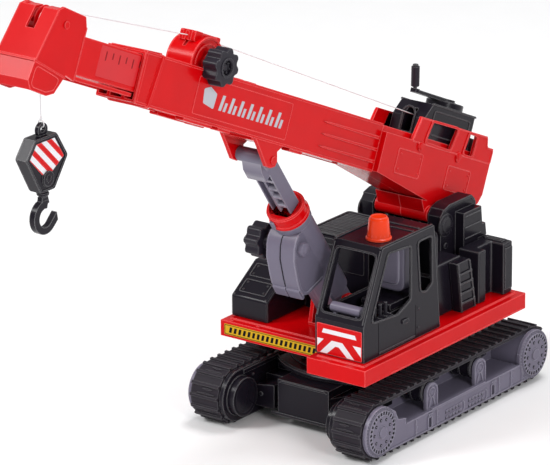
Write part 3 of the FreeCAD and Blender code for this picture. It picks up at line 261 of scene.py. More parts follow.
class Moulding:
    """Closed shapes drawn in one frame, in millimetres, that make one piece."""

    def __init__(self, origin=GROUND):
        self.mesh = bmesh.new()
        self.frame = origin @ Matrix.Scale(MM, 4)

    def loop(self, places):
        return [self.mesh.verts.new(self.frame @ Vector(place)) for place in places]

    def walls(self, loops):
        for low, high in zip(loops, loops[1:]):
            count = max(len(low), len(high))
            for i in range(count):
                ring = [low[i % len(low)], low[(i + 1) % len(low)],
                        high[(i + 1) % len(high)], high[i % len(high)]]
                self.mesh.faces.new(list(dict.fromkeys(ring)))

    def prism(self, outline, low, high, plane="YZ"):
        loops = [self.loop(placed(p, level, plane) for p in outline) for level in (low, high)]
        self.walls(loops)
        for loop in loops:
            self.mesh.faces.new(loop)

    def box(self, low, high):
        self.prism(rectangle(*low[:2], *high[:2]), low[2], high[2], "XY")

    def band(self, outer, inner, low, high, plane="YZ"):
        """A frame between two outlines that have the same number of points."""
        rings = ((outer, low), (outer, high), (inner, high), (inner, low))
        loops = [self.loop(placed(p, level, plane) for p in outline) for outline, level in rings]
        self.walls(loops + loops[:1])

    def turn(self, profile, centre=(0, 0, 0), axis="X", steps=24):
        """A profile of (radius, height) turned about an axis. It closes on the axis or on itself."""
        loops = []
        for radius, height in profile:
            places = around(steps, radius) if radius else [(0, 0)]
            loops.append(self.loop(Vector(centre) + Vector(placed(p, height, PLANE_ACROSS[axis]))
                                   for p in places))
        if profile[0][0]:
            loops.append(loops[0])
        self.walls(loops)

    def ring(self, inner, outer, levels, centre=(0, 0, 0), axis="X", steps=48, taper=0.2):
        """A flat ring between two levels that gets narrower towards the second one."""
        low, high = levels
        self.turn([(inner, low), (outer, low), (outer - taper, high), (inner + taper, high)],
                  centre, axis, steps)

    def cap(self, profile, face, side, centre, steps=20):
        """A turned shape whose heights start from a face, on the side that it looks to."""
        self.turn([(radius, face + side * height) for radius, height in profile], centre, steps=steps)

    def dome(self, centre, radius, rise, axis="X", steps=10):
        self.turn([(0, rise), (radius * 0.6, rise * 0.85), (radius, rise * 0.3),
                   (radius, -rise * 0.5), (0, -rise * 0.5)], centre, axis, steps)

    def done(self, name, body, material, bevel=0.0):
        return finished(self.mesh, name, body, material, bevel)


def rectangle(low_a, low_b, high_a, high_b):
    return [(low_a, low_b), (high_a, low_b), (high_a, high_b), (low_a, high_b)]


def polar(centre, radius, angle):
    return centre[0] + radius * math.cos(angle), centre[1] + radius * math.sin(angle)


def around(count, radius=1.0, centre=(0, 0), start=0.0):
    """Points evenly spaced round a circle."""
    return [polar(centre, radius, 2 * math.pi * (i + start) / count) for i in range(count)]


def arc(centre, radius, start, end, steps=20):
    """Points along an arc between two angles in degrees."""
    return [polar(centre, radius, math.radians(start + (end - start) * i / steps))
            for i in range(steps + 1)]


def arch(middle, spring, foot, radius, steps):
    """An upright outline whose half-round top springs from a height."""
    return [(middle - radius, foot), *arc((middle, spring), radius, 180, 0, steps),
            (middle + radius, foot)]


def raised(face, side, rise, sunk=0.2):
    """Two levels, a little under a face and proud of it, on the side that it looks to."""
    return face - side * sunk, face + side * rise


def grown(points, distance):
    """A convex outline with every side moved outwards."""
    flat = [Vector(p) for p in points]
    count = len(flat)
    area = sum(flat[i].x * flat[(i + 1) % count].y - flat[(i + 1) % count].x * flat[i].y
               for i in range(count))
    way = distance if area > 0 else -distance
    result = []
    for i in range(count):
        into = (flat[i] - flat[i - 1]).normalized()
        out = (flat[(i + 1) % count] - flat[i]).normalized()
        normals = Vector((into.y, -into.x)), Vector((out.y, -out.x))
        spread = normals[0] + normals[1]
        result.append(tuple(flat[i] + spread * (way / (1 + normals[0].dot(normals[1])))))
    return result


def softened(points, radius, steps=4):
    """The same outline with every corner turned into an arc."""
    result = []
    count = len(points)
    for i in range(count):
        corner = Vector(points[i])
        before, after = Vector(points[i - 1]) - corner, Vector(points[(i + 1) % count]) - corner
        half = before.angle(after) / 2
        reach = min(radius / math.tan(half), 0.48 * min(before.length, after.length))
        start, end = corner + before.normalized() * reach, corner + after.normalized() * reach
        for k in range(steps + 1):
            share = k / steps
            result.append(tuple(start.lerp(corner, share).lerp(corner.lerp(end, share), share)))
    return result


def lip(piece, points, width, radius, low, high, plane="YZ", inset=0.3):
    """A raised frame round an opening."""
    inner, outer = grown(points, -inset), grown(points, width - inset)
    piece.band(softened(outer, radius + width), softened(inner, radius), low, high, plane)


def along_boom(points):
    return [(-a, b) for a, b in points]


# ------------------------------------------------------------------ hoist line

LINE_RADIUS = 0.4
LINE_TOP = [(0, 84.846, 203.441), (0, -206.6, 340.8), (0, -210.941, 342.844),
            (0, -215.5, 344.5), (0, -378.675, 403.735)]
LINE_DROP = [(0, -378.675, 403.735), (0, -383.101, 405.342), (0, -390.813, 399.937),
             (0, -390.813, 390.4), (0, -390.813, 326.6)]
LINE_SIDES, LINE_SMOOTH_ANGLE = 8, 80


def smooth_route(route):
    """Points of the smooth line that runs along a route, in metres."""
    curve = bpy.data.curves.new("route", "CURVE")
    curve.dimensions = "3D"
    curve.resolution_u = 8
    spline = curve.splines.new("NURBS")
    spline.points.add(len(route) - 1)
    for point, place in zip(spline.points, route):
        point.co = (*(GROUND @ (Vector(place) * MM)), 1)
    spline.order_u = 3
    spline.use_endpoint_u = True
    guide = bpy.data.objects.new("route", curve)
    mesh = bpy.data.meshes.new_from_object(guide)
    points = [vertex.co.copy() for vertex in mesh.vertices]
    bpy.data.objects.remove(guide)
    bpy.data.curves.remove(curve)
    bpy.data.meshes.remove(mesh)
    return points


def line_tube(name, points):
    """A thin tube along points that all lie in the boom's middle plane."""
    mesh = bmesh.new()
    rings = []
    for i, point in enumerate(points):
        way = (points[min(i + 1, len(points) - 1)] - points[max(i - 1, 0)]).normalized()
        square = way.cross(X)
        rings.append([mesh.verts.new(point + (X * across + square * up) * MM)
                      for across, up in around(LINE_SIDES, LINE_RADIUS)])
    for low, high in zip(rings, rings[1:]):
        for k in range(LINE_SIDES):
            after = (k + 1) % LINE_SIDES
            mesh.faces.new((low[k], low[after], high[after], high[k]))
    mesh.faces.new(rings[0])
    mesh.faces.new(rings[-1])
    return finished(mesh, name, None, LINE, smooth_angle=LINE_SMOOTH_ANGLE, ride=False)


def make_hoist_line():
    top_points, drop_points = smooth_route(LINE_TOP), smooth_route(LINE_DROP)
    top = line_tube("hoist_line_upper", top_points)
    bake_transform(top)
    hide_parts("hoist_line_top")
    drop = line_tube("hoist_line_lower", drop_points)
    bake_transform(drop)
    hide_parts("hoist_line_drop")
    knot = Moulding(HOOK)
    knot.turn([(LINE_RADIUS, 3.5), (1.0, 4.0), (1.1, 4.8), (0.7, 5.6), (LINE_RADIUS, 6.2)],
              axis="Z", steps=12)
    knot_piece = knot.done("line_knot_wraps", "line_end", LINE)
    loop = rounded_node("line_knot", LINE, 0)


# ------------------------------------------------------------------ rounded copies of CAD pieces

BEVELS = {"cab_shell": 0.8, "counterweight": 1.4, "engine_hood": 1.4,
          "boom_head": 0.7, "boom_shell": 0.9, "inner_boom": 1.2, "carbody": 0.8,
          "turntable_base": 1.2, "front_box": 1.6, "side_cover": 1.6, "machine_case": 1.6,
          "track_frame": 0.4, "track_belt": 0.35, "telescope_rack": 0.1, "head_sheave": 0.3,
          "hook": 0.7, "hook_block": 1.2, "cylinder_housing": 1.2,
          "cylinder_collar": 1.0, "cylinder_rod": 0.0, "tower": 1.3, "winch_housing": 1.2,
          "beacon": 0.5, "telescope_knob": 1.2, "luff_knob": 1.2}
USUAL_BEVEL = 0.6
# Nodes whose flat faces stay split into triangles.
KEPT_TRIANGLES = ("deck",)
MADE_ELSEWHERE = ("hoist_line_top", "hoist_line_drop", "line_knot", "cab_seat")


def make_rounded_copies():
    slots = {part["node"]: part["material_slot"] for part in frame["record"]["subparts"]}
    for node in sorted(frame["nodes"]):
        if node not in MADE_ELSEWHERE:
            kind = node.removesuffix("_left").removesuffix("_right")
            rounded_node(node, MATERIALS[slots[node]], BEVELS.get(kind, USUAL_BEVEL))


# ------------------------------------------------------------------ crawler tracks

HUB_Z = 23.2
WHEEL_Y = 103.35
WHEEL_FACE, PLATE_FACE, WEB_FACE, BRACKET_FACE = 84.9, 83.2, 56, 80.4
ROLLER_Y, ROLLER_Z = 32.5, 32.6
SLOT_PLACES = (-39, 46.5)
SEAM_PLACES = (-57.6, -29.6, 54.9, 71.6, 87)
VENT_STARTS = (-19, 12)
BELT_RADIUS, BELT_PITCH, BELT_LINKS = 21.4, 9.128, 60
BOLT_COUNT, BAR_COUNT, RING_DOTS = 9, 28, 44
BOLT_CIRCLE, DOT_CIRCLE = 10.2, 18.35
RECESS_INSIDE, RECESS_OUTSIDE = (12.9, 13.7), (16.2, 16.8)
PLATE_RINGS = ((17.3, 17.8, 0.9), (18.9, 19.5, 0.7))
RAIL_STEPS = ((-69.6, -36, 20), (-36, 36, 20.9), (36, 83.6, 20))
WEB_STUDS, WEB_STUD_PITCH = 46, 3.5
ARCH_OUTER, ARCH_INNER, ARCH_FOOT, ARCH_STEPS = 7.6, 6.1, 19.6, 14


def make_wheel_details(name, side, end, place):
    hub = (place, HUB_Z)
    centre = (0, *hub)
    face = side * WHEEL_FACE
    grey, dark = Moulding(), Moulding()
    for inner, outer, rise in ((*RECESS_OUTSIDE, 0.5), (*RECESS_INSIDE, 0.4), (4.7, 5.6, 0.45)):
        grey.ring(inner, outer, raised(face, side, rise, 0.3), centre)
    # The dark discs under the bolt heads and the dark ring between the recesses are painted shade.
    for y, z in around(BOLT_COUNT, BOLT_CIRCLE, hub, 0.5):
        dark.dome((face, y, z), 1.35, side * 0.35)
        grey.dome((face + side * 0.2, y, z), 0.6, side * 0.45, steps=8)
    dark.ring(RECESS_INSIDE[1], RECESS_OUTSIDE[0], raised(face, side, 0.12), centre, taper=0)
    for i in range(BAR_COUNT):
        angle = 2 * math.pi * i / BAR_COUNT
        bar = [polar(hub, r, angle + turn)
               for r, turn in ((13.6, -0.05), (16.3, -0.042), (16.3, 0.042), (13.6, 0.05))]
        grey.prism(bar, face, face + side * 0.42)
    wheel = f"{end}_wheel_{name}_"
    grey.done(wheel + "face", wheel + "body", GREY, 0.12)
    dark.done(wheel + "recess_shade", wheel + "body", DARK)


def add_vent(plate, dark, start, out, side):
    """Two rows of slanted slats with their shadows, and the bracket-shaped rib after them."""
    for row_z in (7.3, 11.8):
        for i in range(5):
            y = start + 1.5 + 4.4 * i
            slat = [(y, row_z), (y + 3, row_z + 0.7), (y + 3, row_z + 2.5), (y, row_z + 1.8)]
            plate.prism(slat, *raised(out, side, 0.75))
            dark.prism([(a - 0.4, b - 0.9) for a, b in slat], *raised(out, side, 0.12))
    end = start + 24.5
    plate.prism([(end, 5.6), (end + 2, 7), (end + 2, 13.5), (end, 15), (end - 1, 14.2),
                 (end + 0.9, 12.8), (end + 0.9, 7.8), (end - 1, 6.4)], *raised(out, side, 0.7))


def make_plate_details(name, side):
    """Everything moulded on the outside of a track frame."""
    out = side * PLATE_FACE
    plate, dark = Moulding(), Moulding()
    for y in SEAM_PLACES:
        plate.prism(rectangle(y - 0.6, 5, y + 0.6, 18.8), *raised(out, side, 0.7, 0.3))
        for z in (7.2, 12, 16.8):
            plate.dome((out, y + 2.1, z), 0.9, side * 0.7, steps=8)
    for y in SLOT_PLACES:
        lip(plate, rectangle(y - 2, 6.5, y + 2, 15), 1.4, 0.8, *raised(out, side, 0.8, 0.3))
        plate.prism(rectangle(y - 2.2, 16.6, y + 4, 18), *raised(out, side, 0.8, 0.3))
    for start in VENT_STARTS:
        add_vent(plate, dark, start, out, side)
    for low, high, top in RAIL_STEPS:
        plate.prism(rectangle(low, 18.9, high, top), *raised(out, side, 0.6, 2.4))
    plate.prism([(-91, 4.7), (91, 4.7), (92, 5.3), (91, 5.9), (-91, 5.9), (-92, 5.3)],
                *raised(out, side, 0.7, 0.3))
    for place in (-WHEEL_Y, WHEEL_Y):
        hub = (place, HUB_Z)
        for inner, outer, rise in PLATE_RINGS:
            plate.ring(inner, outer, raised(out, side, rise, 0.4), (0, *hub), steps=56, taper=0.1)
        for y, z in around(RING_DOTS, DOT_CIRCLE, hub):
            plate.dome((out, y, z), 0.5, side * 0.8, steps=6)
    web = side * WEB_FACE
    for i in range(WEB_STUDS):
        plate.dome((web, -76 + WEB_STUD_PITCH * i, 32.6), 0.75, side * 0.7, steps=8)
    plate.prism(rectangle(-79.5, 29.6, 83.5, 30.3), *raised(web, side, 0.5))
    for y in (-62, -20, 45):
        dark.prism(rectangle(y, 23, y + 12, 27.5), *raised(web, side, 0.15))
    plate.done("track_plate_details_" + name, "undercarriage", GREY, 0.18)
    dark.done("track_plate_shadows_" + name, "undercarriage", DARK)


def make_roller_brackets(name, side):
    ribs, bolts = Moulding(), Moulding()
    face = side * BRACKET_FACE
    levels = raised(face, side, 0.9)
    for y in (-ROLLER_Y, ROLLER_Y):
        ribs.band(*(arch(y, ROLLER_Z, ARCH_FOOT, radius, ARCH_STEPS)
                    for radius in (ARCH_OUTER, ARCH_INNER)), *levels)
        ribs.ring(3.1, 4.4, levels, (0, y, ROLLER_Z), steps=24)
        for lean in (-1, 1):
            ribs.prism([(y + lean * 0.4, ROLLER_Z - 3.2), (y + lean * 1.7, ROLLER_Z - 3.2),
                        (y + lean * 5.2, 20), (y + lean * 3.6, 20)], *levels)
        bolts.dome((face, y, ROLLER_Z), 2.1, side * 1.4, steps=14)
    ribs.done("roller_bracket_ribs_" + name, "undercarriage", GREY, 0.2)
    bolts.done("roller_bolts_" + name, "undercarriage", GREY)


def make_roller_grooves(name, side, end, place):
    rings = Moulding()
    for x in (58.6, 66.6, 76.2):
        rings.turn([(8.6, side * (x - 1.2)), (9.7, side * (x - 0.8)), (9.7, side * (x + 0.8)),
                    (8.6, side * (x + 1.2))], (0, place, ROLLER_Z), steps=32)
    roller = f"{end}_roller_{name}_"
    rings.done(roller + "rims", roller + "body", BLACK, 0.2)


def belt_frame(distance):
    """Matrix at a place along the belt: X across it, Y along it, Z outwards."""
    straight, bend = 2 * WHEEL_Y, math.pi * BELT_RADIUS
    if distance < straight:
        place, angle = (-WHEEL_Y + distance, BELT_RADIUS), 0
    elif distance < straight + bend:
        angle = (distance - straight) / BELT_RADIUS
        place = WHEEL_Y + BELT_RADIUS * math.sin(angle), BELT_RADIUS * math.cos(angle)
    elif distance < 2 * straight + bend:
        place, angle = (WHEEL_Y - (distance - straight - bend), -BELT_RADIUS), math.pi
    else:
        angle = math.pi + (distance - 2 * straight - bend) / BELT_RADIUS
        place = -WHEEL_Y + BELT_RADIUS * math.sin(angle), BELT_RADIUS * math.cos(angle)
    return moved(GROUND, (0, place[0], HUB_Z + place[1])) @ Matrix.Rotation(-angle, 4, "X")


def make_belt_details(name, side):
    """One long and one short bar on every other link."""
    belt = Moulding()
    for i in range(0, BELT_LINKS, 2):
        belt.frame = belt_frame((i + 1) * BELT_PITCH) @ Matrix.Scale(MM, 4)
        for low, high, y in ((57.5, 73.5, -1.9), (60, 69, 1.7)):
            a, b = side * low, side * high
            belt.prism([(a, y - 0.3), ((a + b) / 2, y - 0.9), (b, y - 0.3), (b, y + 0.3),
                        ((a + b) / 2, y + 0.9), (a, y + 0.3)], -0.3, 0.75, "XY")
    belt.done("track_link_bars_" + name, "undercarriage", RUBBER, 0.12)


# ------------------------------------------------------------------ undercarriage and deck

DECK_FRONT, DECK_HALF, DECK_LOW, DECK_RIM = 88.4, 78.4, 61.6, 74.5
PLATE_LEFT, PLATE_RIGHT = -74.5, 22.5
PLATE_BARS, PLATE_BAR_PITCH = 20, 4.4
TABLE_TOP, COVER_FACE = 41.5, 43.2


def make_carbody_details():
    black = Moulding()
    for end in (-1, 1):
        black.prism(rectangle(-30, 8.2, 30, 10.6), end * 87, end * 88.9, "XZ")
        black.prism([(-23, 35), (23, 35), (20, 37), (-20, 37)], end * 87.5, end * 88.7, "XZ")
        for side in (LEFT, RIGHT):
            block = softened([(side * 30.5, 9.5), (side * 49.2, 9.5), (side * 49.2, 26.5),
                              (side * 30.5, 29.5)], 1.6, 3)
            black.prism(block, end * 60, end * 84, "XZ")
            black.dome((side * 43, end * 84, 20), 1.6, end * 1, "Y", 12)
            lip(black, rectangle(-7 + side * 34, 44.5, 7 + side * 34, 58), 1.2, 2,
                end * 30, end * 33.6, "XZ")
    for radius, rise in ((72, 0.8), (62, 0.8), (50, 1.2)):
        black.ring(radius, radius + 1.6, (TABLE_TOP - 0.3, TABLE_TOP + rise), axis="Z", steps=72)
    for x, y in around(24, 56):
        black.dome((x, y, TABLE_TOP), 1.5, 1, "Z")
    black.done("carbody_mouldings", "undercarriage", BLACK, 0.4)


def make_track_covers():
    for name, side in SIDES:
        cover = Moulding()
        face = side * COVER_FACE
        boss = ((0, -1.4), (9, -1.2), (12.5, -0.2), (14.2, 1.6), (14.8, 4), (0, 4))
        for end in (-1, 1):
            cover.cap(boss, face, side, (0, end * WHEEL_Y, HUB_Z), 40)
            cover.dome((side * 49.7, end * (WHEEL_Y - 17.8), HUB_Z + 12), 1.6, -side * 1.3)
        cover.prism(rectangle(-98, 39, 98, 42.6), side * 48.7, side * 49.9)
        cover.done("track_cover_bosses_" + name, "undercarriage", BLACK, 0.5)


def make_front_plate():
    plate = Moulding()
    plate.prism(softened(rectangle(PLATE_LEFT, 63.6, PLATE_RIGHT, 72.2), 0.8, 3),
                -DECK_FRONT + 0.3, -DECK_FRONT - 0.3, "XZ")
    plate.done("front_plate_yellow", "superstructure", YELLOW, 0.15)
    levels = -DECK_FRONT - 0.2, -DECK_FRONT - 0.42, "XZ"
    bars = Moulding()
    bars.band(softened(rectangle(PLATE_LEFT + 0.5, 64.1, PLATE_RIGHT - 0.5, 71.7), 0.6, 3),
              softened(rectangle(PLATE_LEFT + 0.9, 64.5, PLATE_RIGHT - 0.9, 71.3), 0.4, 3),
              *levels)
    for i in range(PLATE_BARS):
        x = PLATE_LEFT + 4.6 + PLATE_BAR_PITCH * i
        bars.prism([(x, 65.7), (x + 2.3, 65.7), (x + 3.3, 70.1), (x + 1, 70.1)], *levels)
    bars.done("front_plate_bars", "superstructure", DARK)


def make_deck_trim():
    trim = Moulding()
    low, high = DECK_LOW + 0.4, DECK_LOW + 1.8
    for x in (-DECK_HALF, DECK_HALF):
        trim.box((x - 0.4, -84, low), (x + 0.4, 94, high))
    trim.box((-74, 98.5, low), (74, 99.3, high))
    for x in (-70, -45):
        for y in (88, -84.6):
            trim.dome((x, y, DECK_RIM), 1.5, 0.8, "Z", 12)
    trim.done("deck_trim", "superstructure", RED, 0.25)


# ------------------------------------------------------------------ cab and hoods

CAB_LOW_X, CAB_HIGH_X, CAB_FRONT_Y = 25.4, 70.4, -107
DOOR_WINDOW = [(-97.5, 105.2), (-75.6, 154), (-46.3, 152), (-46.3, 109.5), (-62.8, 102.6)]
REAR_WINDOW = [(-37, 152.5), (-18.9, 152.5), (-18.3, 114.6), (-26, 110.4), (-33.5, 112.5)]
INNER_WINDOW = [(-94, 108), (-76, 150), (-24, 150), (-24, 108)]
LOUVRES, LOUVRE_PITCH = 16, 3.1
STEP_LEAN = 0.146
WEIGHT_FACE = 92.2
BEACON_PLACE, CLEVIS_PIN = (54.5, -65.5, 160), (0, -49, 95)
SIDE_COVER_FACE = -75


def slope_frame(start, way):
    """Matrix at the foot of a sloping face: X across it, Y up the slope, Z out of it."""
    slope = Vector(way).normalized()
    return frame_at(GROUND @ (Vector(start) * MM), slope, X.cross(slope))


WINDSHIELD = slope_frame((0, CAB_FRONT_Y, 104), (0, 24.8, 56))
FRONT_BOX = slope_frame((0, -79, 93), (0, 31, 20.5))


def make_cab_details():
    trim, lines = Moulding(), Moulding()
    window_levels, line_levels = raised(CAB_HIGH_X, 1, 0.7, 0.4), raised(CAB_HIGH_X, 1, 0.12, 0.1)
    lip(trim, DOOR_WINDOW, 1.5, 3.5, *window_levels)
    lip(trim, REAR_WINDOW, 1.5, 3, *window_levels)
    lip(trim, INNER_WINDOW, 1.5, 3.5, *raised(CAB_LOW_X, -1, 0.7, 0.4))
    lip(trim, rectangle(30.4, 116, 65.4, 150), 1.5, 3.5, -8, -5, "XZ")
    for y in (-88, -39.5):
        lines.prism(rectangle(y - 0.25, 77, y + 0.25, 103), *line_levels)
    lines.prism(rectangle(-88, 77.6, -39.5, 78.1), *line_levels)
    lines.done("cab_door_gaps", "superstructure", DARK)
    handle = softened(rectangle(-57.6, 92.6, -49.6, 96.2), 1.4, 3)
    trim.prism(handle, *raised(CAB_HIGH_X, 1, 1.3, 0.3))
    trim.prism(rectangle(-87, 77.5, -40.5, 79.2), *raised(CAB_HIGH_X, 1, 0.4, 0.3))
    for z in (84, 99):
        trim.dome((CAB_HIGH_X, -36, z), 1.2, 0.9)
    for x in (26.4, 67.6):
        trim.prism([(-83.6, 159.4), (-16, 159.4), (-16, 161), (-83, 161)], x, x + 1.8)
    for y in (-38, -30):
        trim.box((30, y, 159.6), (66, y + 2, 160.7))
    trim.done("cab_window_frames", "superstructure", BLACK, 0.3)
    glass = Moulding(WINDSHIELD)
    lip(glass, rectangle(29.4, 5.5, 66.4, 55.2), 1.6, 4, -1.2, 0.7, "XY")
    for x in (27, 68.6):
        glass.prism(rectangle(x - 0.5, 2, x + 0.5, 59), -0.4, 0.6, "XY")
    glass.done("windshield_frame", "superstructure", BLACK, 0.3)


def make_cab_sticker():
    face = CAB_FRONT_Y
    base, marks = Moulding(), Moulding()
    base.prism(softened(rectangle(27.2, 76.6, 68.6, 100.4), 1, 3), face + 0.2, face - 0.25, "XZ")
    base.done("cab_front_panel", "superstructure", RED, 0.1)
    chevron = [(30.2, 77.2), (41, 88.2), (50.8, 88.2), (61.6, 77.2), (55.2, 77.2),
               (47.6, 84.2), (44.4, 84.2), (36.6, 77.2)]
    left = [(27.8, 88.2), (33.6, 88.2), (27.8, 82)]
    right = [(68, 88.2), (60.4, 88.2), (68, 80.4)]
    stripe = [(32, 93.2), (63.8, 93.2), (62.4, 96.6), (33.4, 96.6)]
    for outline in (chevron, left, right, stripe):
        marks.prism(outline, face - 0.1, face - 0.36, "XZ")
    marks.done("cab_front_chevrons", "superstructure", WHITE)


def make_cab_inside():
    seat = Moulding()
    for shape, front, rear, radius in ((rectangle(34.5, 111, 61.5, 153), -42.5, -30, 9),
                                       (rectangle(38.5, 116, 57.5, 148), -43.6, -40, 7)):
        seat.prism(softened(shape, radius, 6), front, rear, "XZ")
    seat_back = seat.done("cab_seat_back", "superstructure", GREY, 2.5)
    base = Moulding()
    for low, high, inset in ((76, 96, 1.5), (96, 101.5, 0), (102, 107.5, 0.6)):
        base.prism(softened(rectangle(-61 + inset, low, -29, high), 2, 3), 34 + inset, 62 - inset)
    seat_base = base.done("cab_seat_cushions", "superstructure", BLACK, 1.2)
    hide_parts("cab_seat")
    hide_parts("cab_seat")
    roll = Moulding()
    roll.turn([(0, 34), (3.2, 34), (4.1, 34.9), (4.1, 61.3), (3.2, 62.2), (0, 62.2)],
              (0, -97, 111.6), steps=28)
    for x in (37, 57):
        roll.prism(rectangle(-99.5, 103, -96.5, 111), x, x + 2)
    roll.done("cab_grab_roll", "superstructure", GREY, 0.3)
    # A dark sheet across the rear window is painted shade for the inside of the cab.
    rear_shade_sheet = Moulding()
    rear_shade_sheet.prism(softened(rectangle(29.5, 115, 66.3, 151), 3), -7.4, -6.6, "XZ")
    rear_shade_sheet.done("cab_rear_pane", "superstructure", DARK, 0.1)


def make_front_box_details():
    box = Moulding(FRONT_BOX)
    for low, high in ((5, 17), (21, 33)):
        lip(box, rectangle(-70, low, -46, high), 0.8, 1, -0.2, 0.5, "XY")
    for x in (-67.5, -48.5):
        for y in (7.4, 14.6, 23.4, 30.6):
            box.dome((x, y, 0), 1.1, 0.9, "Z")
    for x in (-72.5, -43):
        box.dome((x, 1.6, 0), 0.9, 0.8, "Z")
    box.done("front_box_panels", "superstructure", BLACK, 0.15)


def make_hood_details():
    hood = Moulding()
    lip(hood, rectangle(-38.5, -26.5, -2.5, 25.5), 1.4, 2, 137.8, 138.9, "XY")
    for i in range(LOUVRES):
        y = -25 + LOUVRE_PITCH * i
        hood.box((-36.5, y, 137.5), (-4.5, y + 1.3, 138.6))
    hood.prism(softened(rectangle(-36, 112, 16, 132), 3), -30.5, -29.4, "XZ")
    hood.done("engine_hood_louvres", "superstructure", BLACK, 0.3)


def make_side_cover_details():
    cover = Moulding()
    levels = raised(SIDE_COVER_FACE, RIGHT, 0.7)
    for low, high in ((-27, 8), (12, 49)):
        lip(cover, rectangle(low, 80, high, 108), 1.2, 2, *levels)
        for y in (low + 3, high - 3):
            for z in (83, 105):
                cover.dome((SIDE_COVER_FACE, y, z), 1.2, RIGHT * 0.9)
    lip(cover, rectangle(-76, 79, -34, 90), 1.2, 1.5, *levels)
    cover.done("side_cover_panels", "superstructure", BLACK, 0.25)


def make_steps():
    steps = Moulding()
    for z in (83, 91, 99, 107):
        lean = (z - 75.8) * STEP_LEAN
        steps.prism([(28.5 - lean, z), (46.6 - lean * 1.2, z), (46.4 - lean * 1.2, z + 1.5),
                     (28.3 - lean, z + 1.5)], 65.6, 67.4)
    for foot, head in ((28.6, 23), (46.4, 38.2)):
        steps.prism([(foot - 0.8, 76.2), (foot + 0.8, 76.2), (head + 0.8, 116.4),
                     (head - 0.8, 116.4)], 65.6, 66.9)
    steps.done("side_step_treads", "superstructure", BLACK, 0.25)


def make_towers():
    """Pivot caps, roof ribs and panels on both towers, and the ribbed bed between them."""
    cap = [(44, 149.4), (52, 152), (81.7, 152), (87, 146.8), (84, 146.8),
           (80.8, 149.8), (52.6, 149.8), (45, 147.4)]
    pivot = ((0, 37.6), (9.4, 37.6), (9.2, 39), (6.4, 39.4), (6, 40.2), (0, 40.6))
    for name, side in SIDES:
        post = Moulding()
        post.cap(pivot, 0, side, (0, 46.4, 136.6), 32)
        post.prism(cap, side * 25.4, side * 38.6)
        lip(post, rectangle(62.5, 96, 77.5, 114), 1, 1.2, side * 45.8, side * 46.7)
        for z in (122, 131, 140):
            post.prism(rectangle(62, z, 83, z + 1.2), side * 45.8, side * 46.6)
        post.done("tower_mouldings_" + name, "superstructure", BLACK, 0.4)
    bed = Moulding()
    bed.prism([(55, 96), (60, 96), (60, 132.6), (58.6, 134), (56.4, 134), (55, 132.6)], -24.2, 24.2)
    for x in (-16, -8, 0, 8, 16):
        bed.prism(rectangle(53.8, 98, 55.4, 131), x - 0.8, x + 0.8)
    bed.done("pivot_bed", "superstructure", BLACK, 0.3)


def make_counterweight_details():
    weight = Moulding()
    low, high = WEIGHT_FACE - 0.1, WEIGHT_FACE + 0.8
    for side in (LEFT, RIGHT):
        middle = side * 50
        lip(weight, rectangle(middle - 14, 80, middle + 14, 112), 1.4, 2, low, high + 0.2, "XZ")
        for z in (86, 96, 106):
            weight.prism(rectangle(middle - 11, z, middle + 11, z + 1.4), low, high, "XZ")
        weight.prism(rectangle(81.5, 80, 91, 114), side * 69.8, side * 70.8)
        weight.box((side * 58 - 8, 83, 117.8), (side * 58 + 8, 90, 118.8))
    lip(weight, rectangle(-22, 78.5, 22, 86), 1, 1.2, low, high, "XZ")
    weight.done("counterweight_mouldings", "superstructure", BLACK, 0.3)


def make_beacon_rims():
    rims = Moulding(moved(GROUND, BEACON_PLACE))
    rims.turn([(8.6, 0.2), (10, 0.2), (9.9, 1.6), (8.7, 2.4)], axis="Z", steps=32)
    rims.turn([(5, 17.2), (6.6, 17.2), (6.3, 18), (5.2, 18)], axis="Z", steps=32)
    for x, y in around(16):
        rims.prism([(8 * x - 0.3 * y, 8 * y + 0.3 * x), (9 * x, 9 * y),
                    (8 * x + 0.3 * y, 8 * y - 0.3 * x)], 2, 5, "XY")
    rims.done("beacon_rims", "superstructure", ORANGE, 0.2)


def make_clevis_caps():
    caps = Moulding()
    profile = ((0, 15.8), (4.8, 15.8), (4.6, 17.2), (2.6, 19), (0, 19.2))
    for side in (LEFT, RIGHT):
        caps.cap(profile, 0, side, CLEVIS_PIN)
    caps.done("clevis_pin_caps", "superstructure", GREY, 0.2)


# ------------------------------------------------------------------ boom

BASE_FACE, TUBE_FACE, INNER_FACE, HEAD_FACE = 22, 17, 14.8, 17
TUBE_END = 397
COLLAR_TOP, COLLAR_LEAN = 57.4, 0.13
TELESCOPE_HUB = (0, -316, 61.2)
CRANK_HUB = (0, 20, 0)
GUARD_WINDOWS = ([(28.5, 52.5), (24, 69), (-13.5, 69.5), (-8.5, 52)],
                 [(-27.7, 52), (-30.8, 68.8), (-42, 68.5), (-41.5, 52)])
BASE_PANELS = ((62, 26.3, 23, 43), (-11, -45.6, 21.2, 41))
GUARD_EDGE = [(46, 50), (46, 52), (40.3, 70.5), (-57.8, 71), (-60.5, 63), (-70, 63), (-70, 50)]
EMBLEM = [(303.4, 30.6), (317.2, 33), (319.4, 43.4), (312, 45.8), (302.6, 42)]
BOOM_STRIPES, BOOM_STRIPE_PITCH = 7, 12.2
SCALE_TICKS, SCALE_PITCH = 6, 8


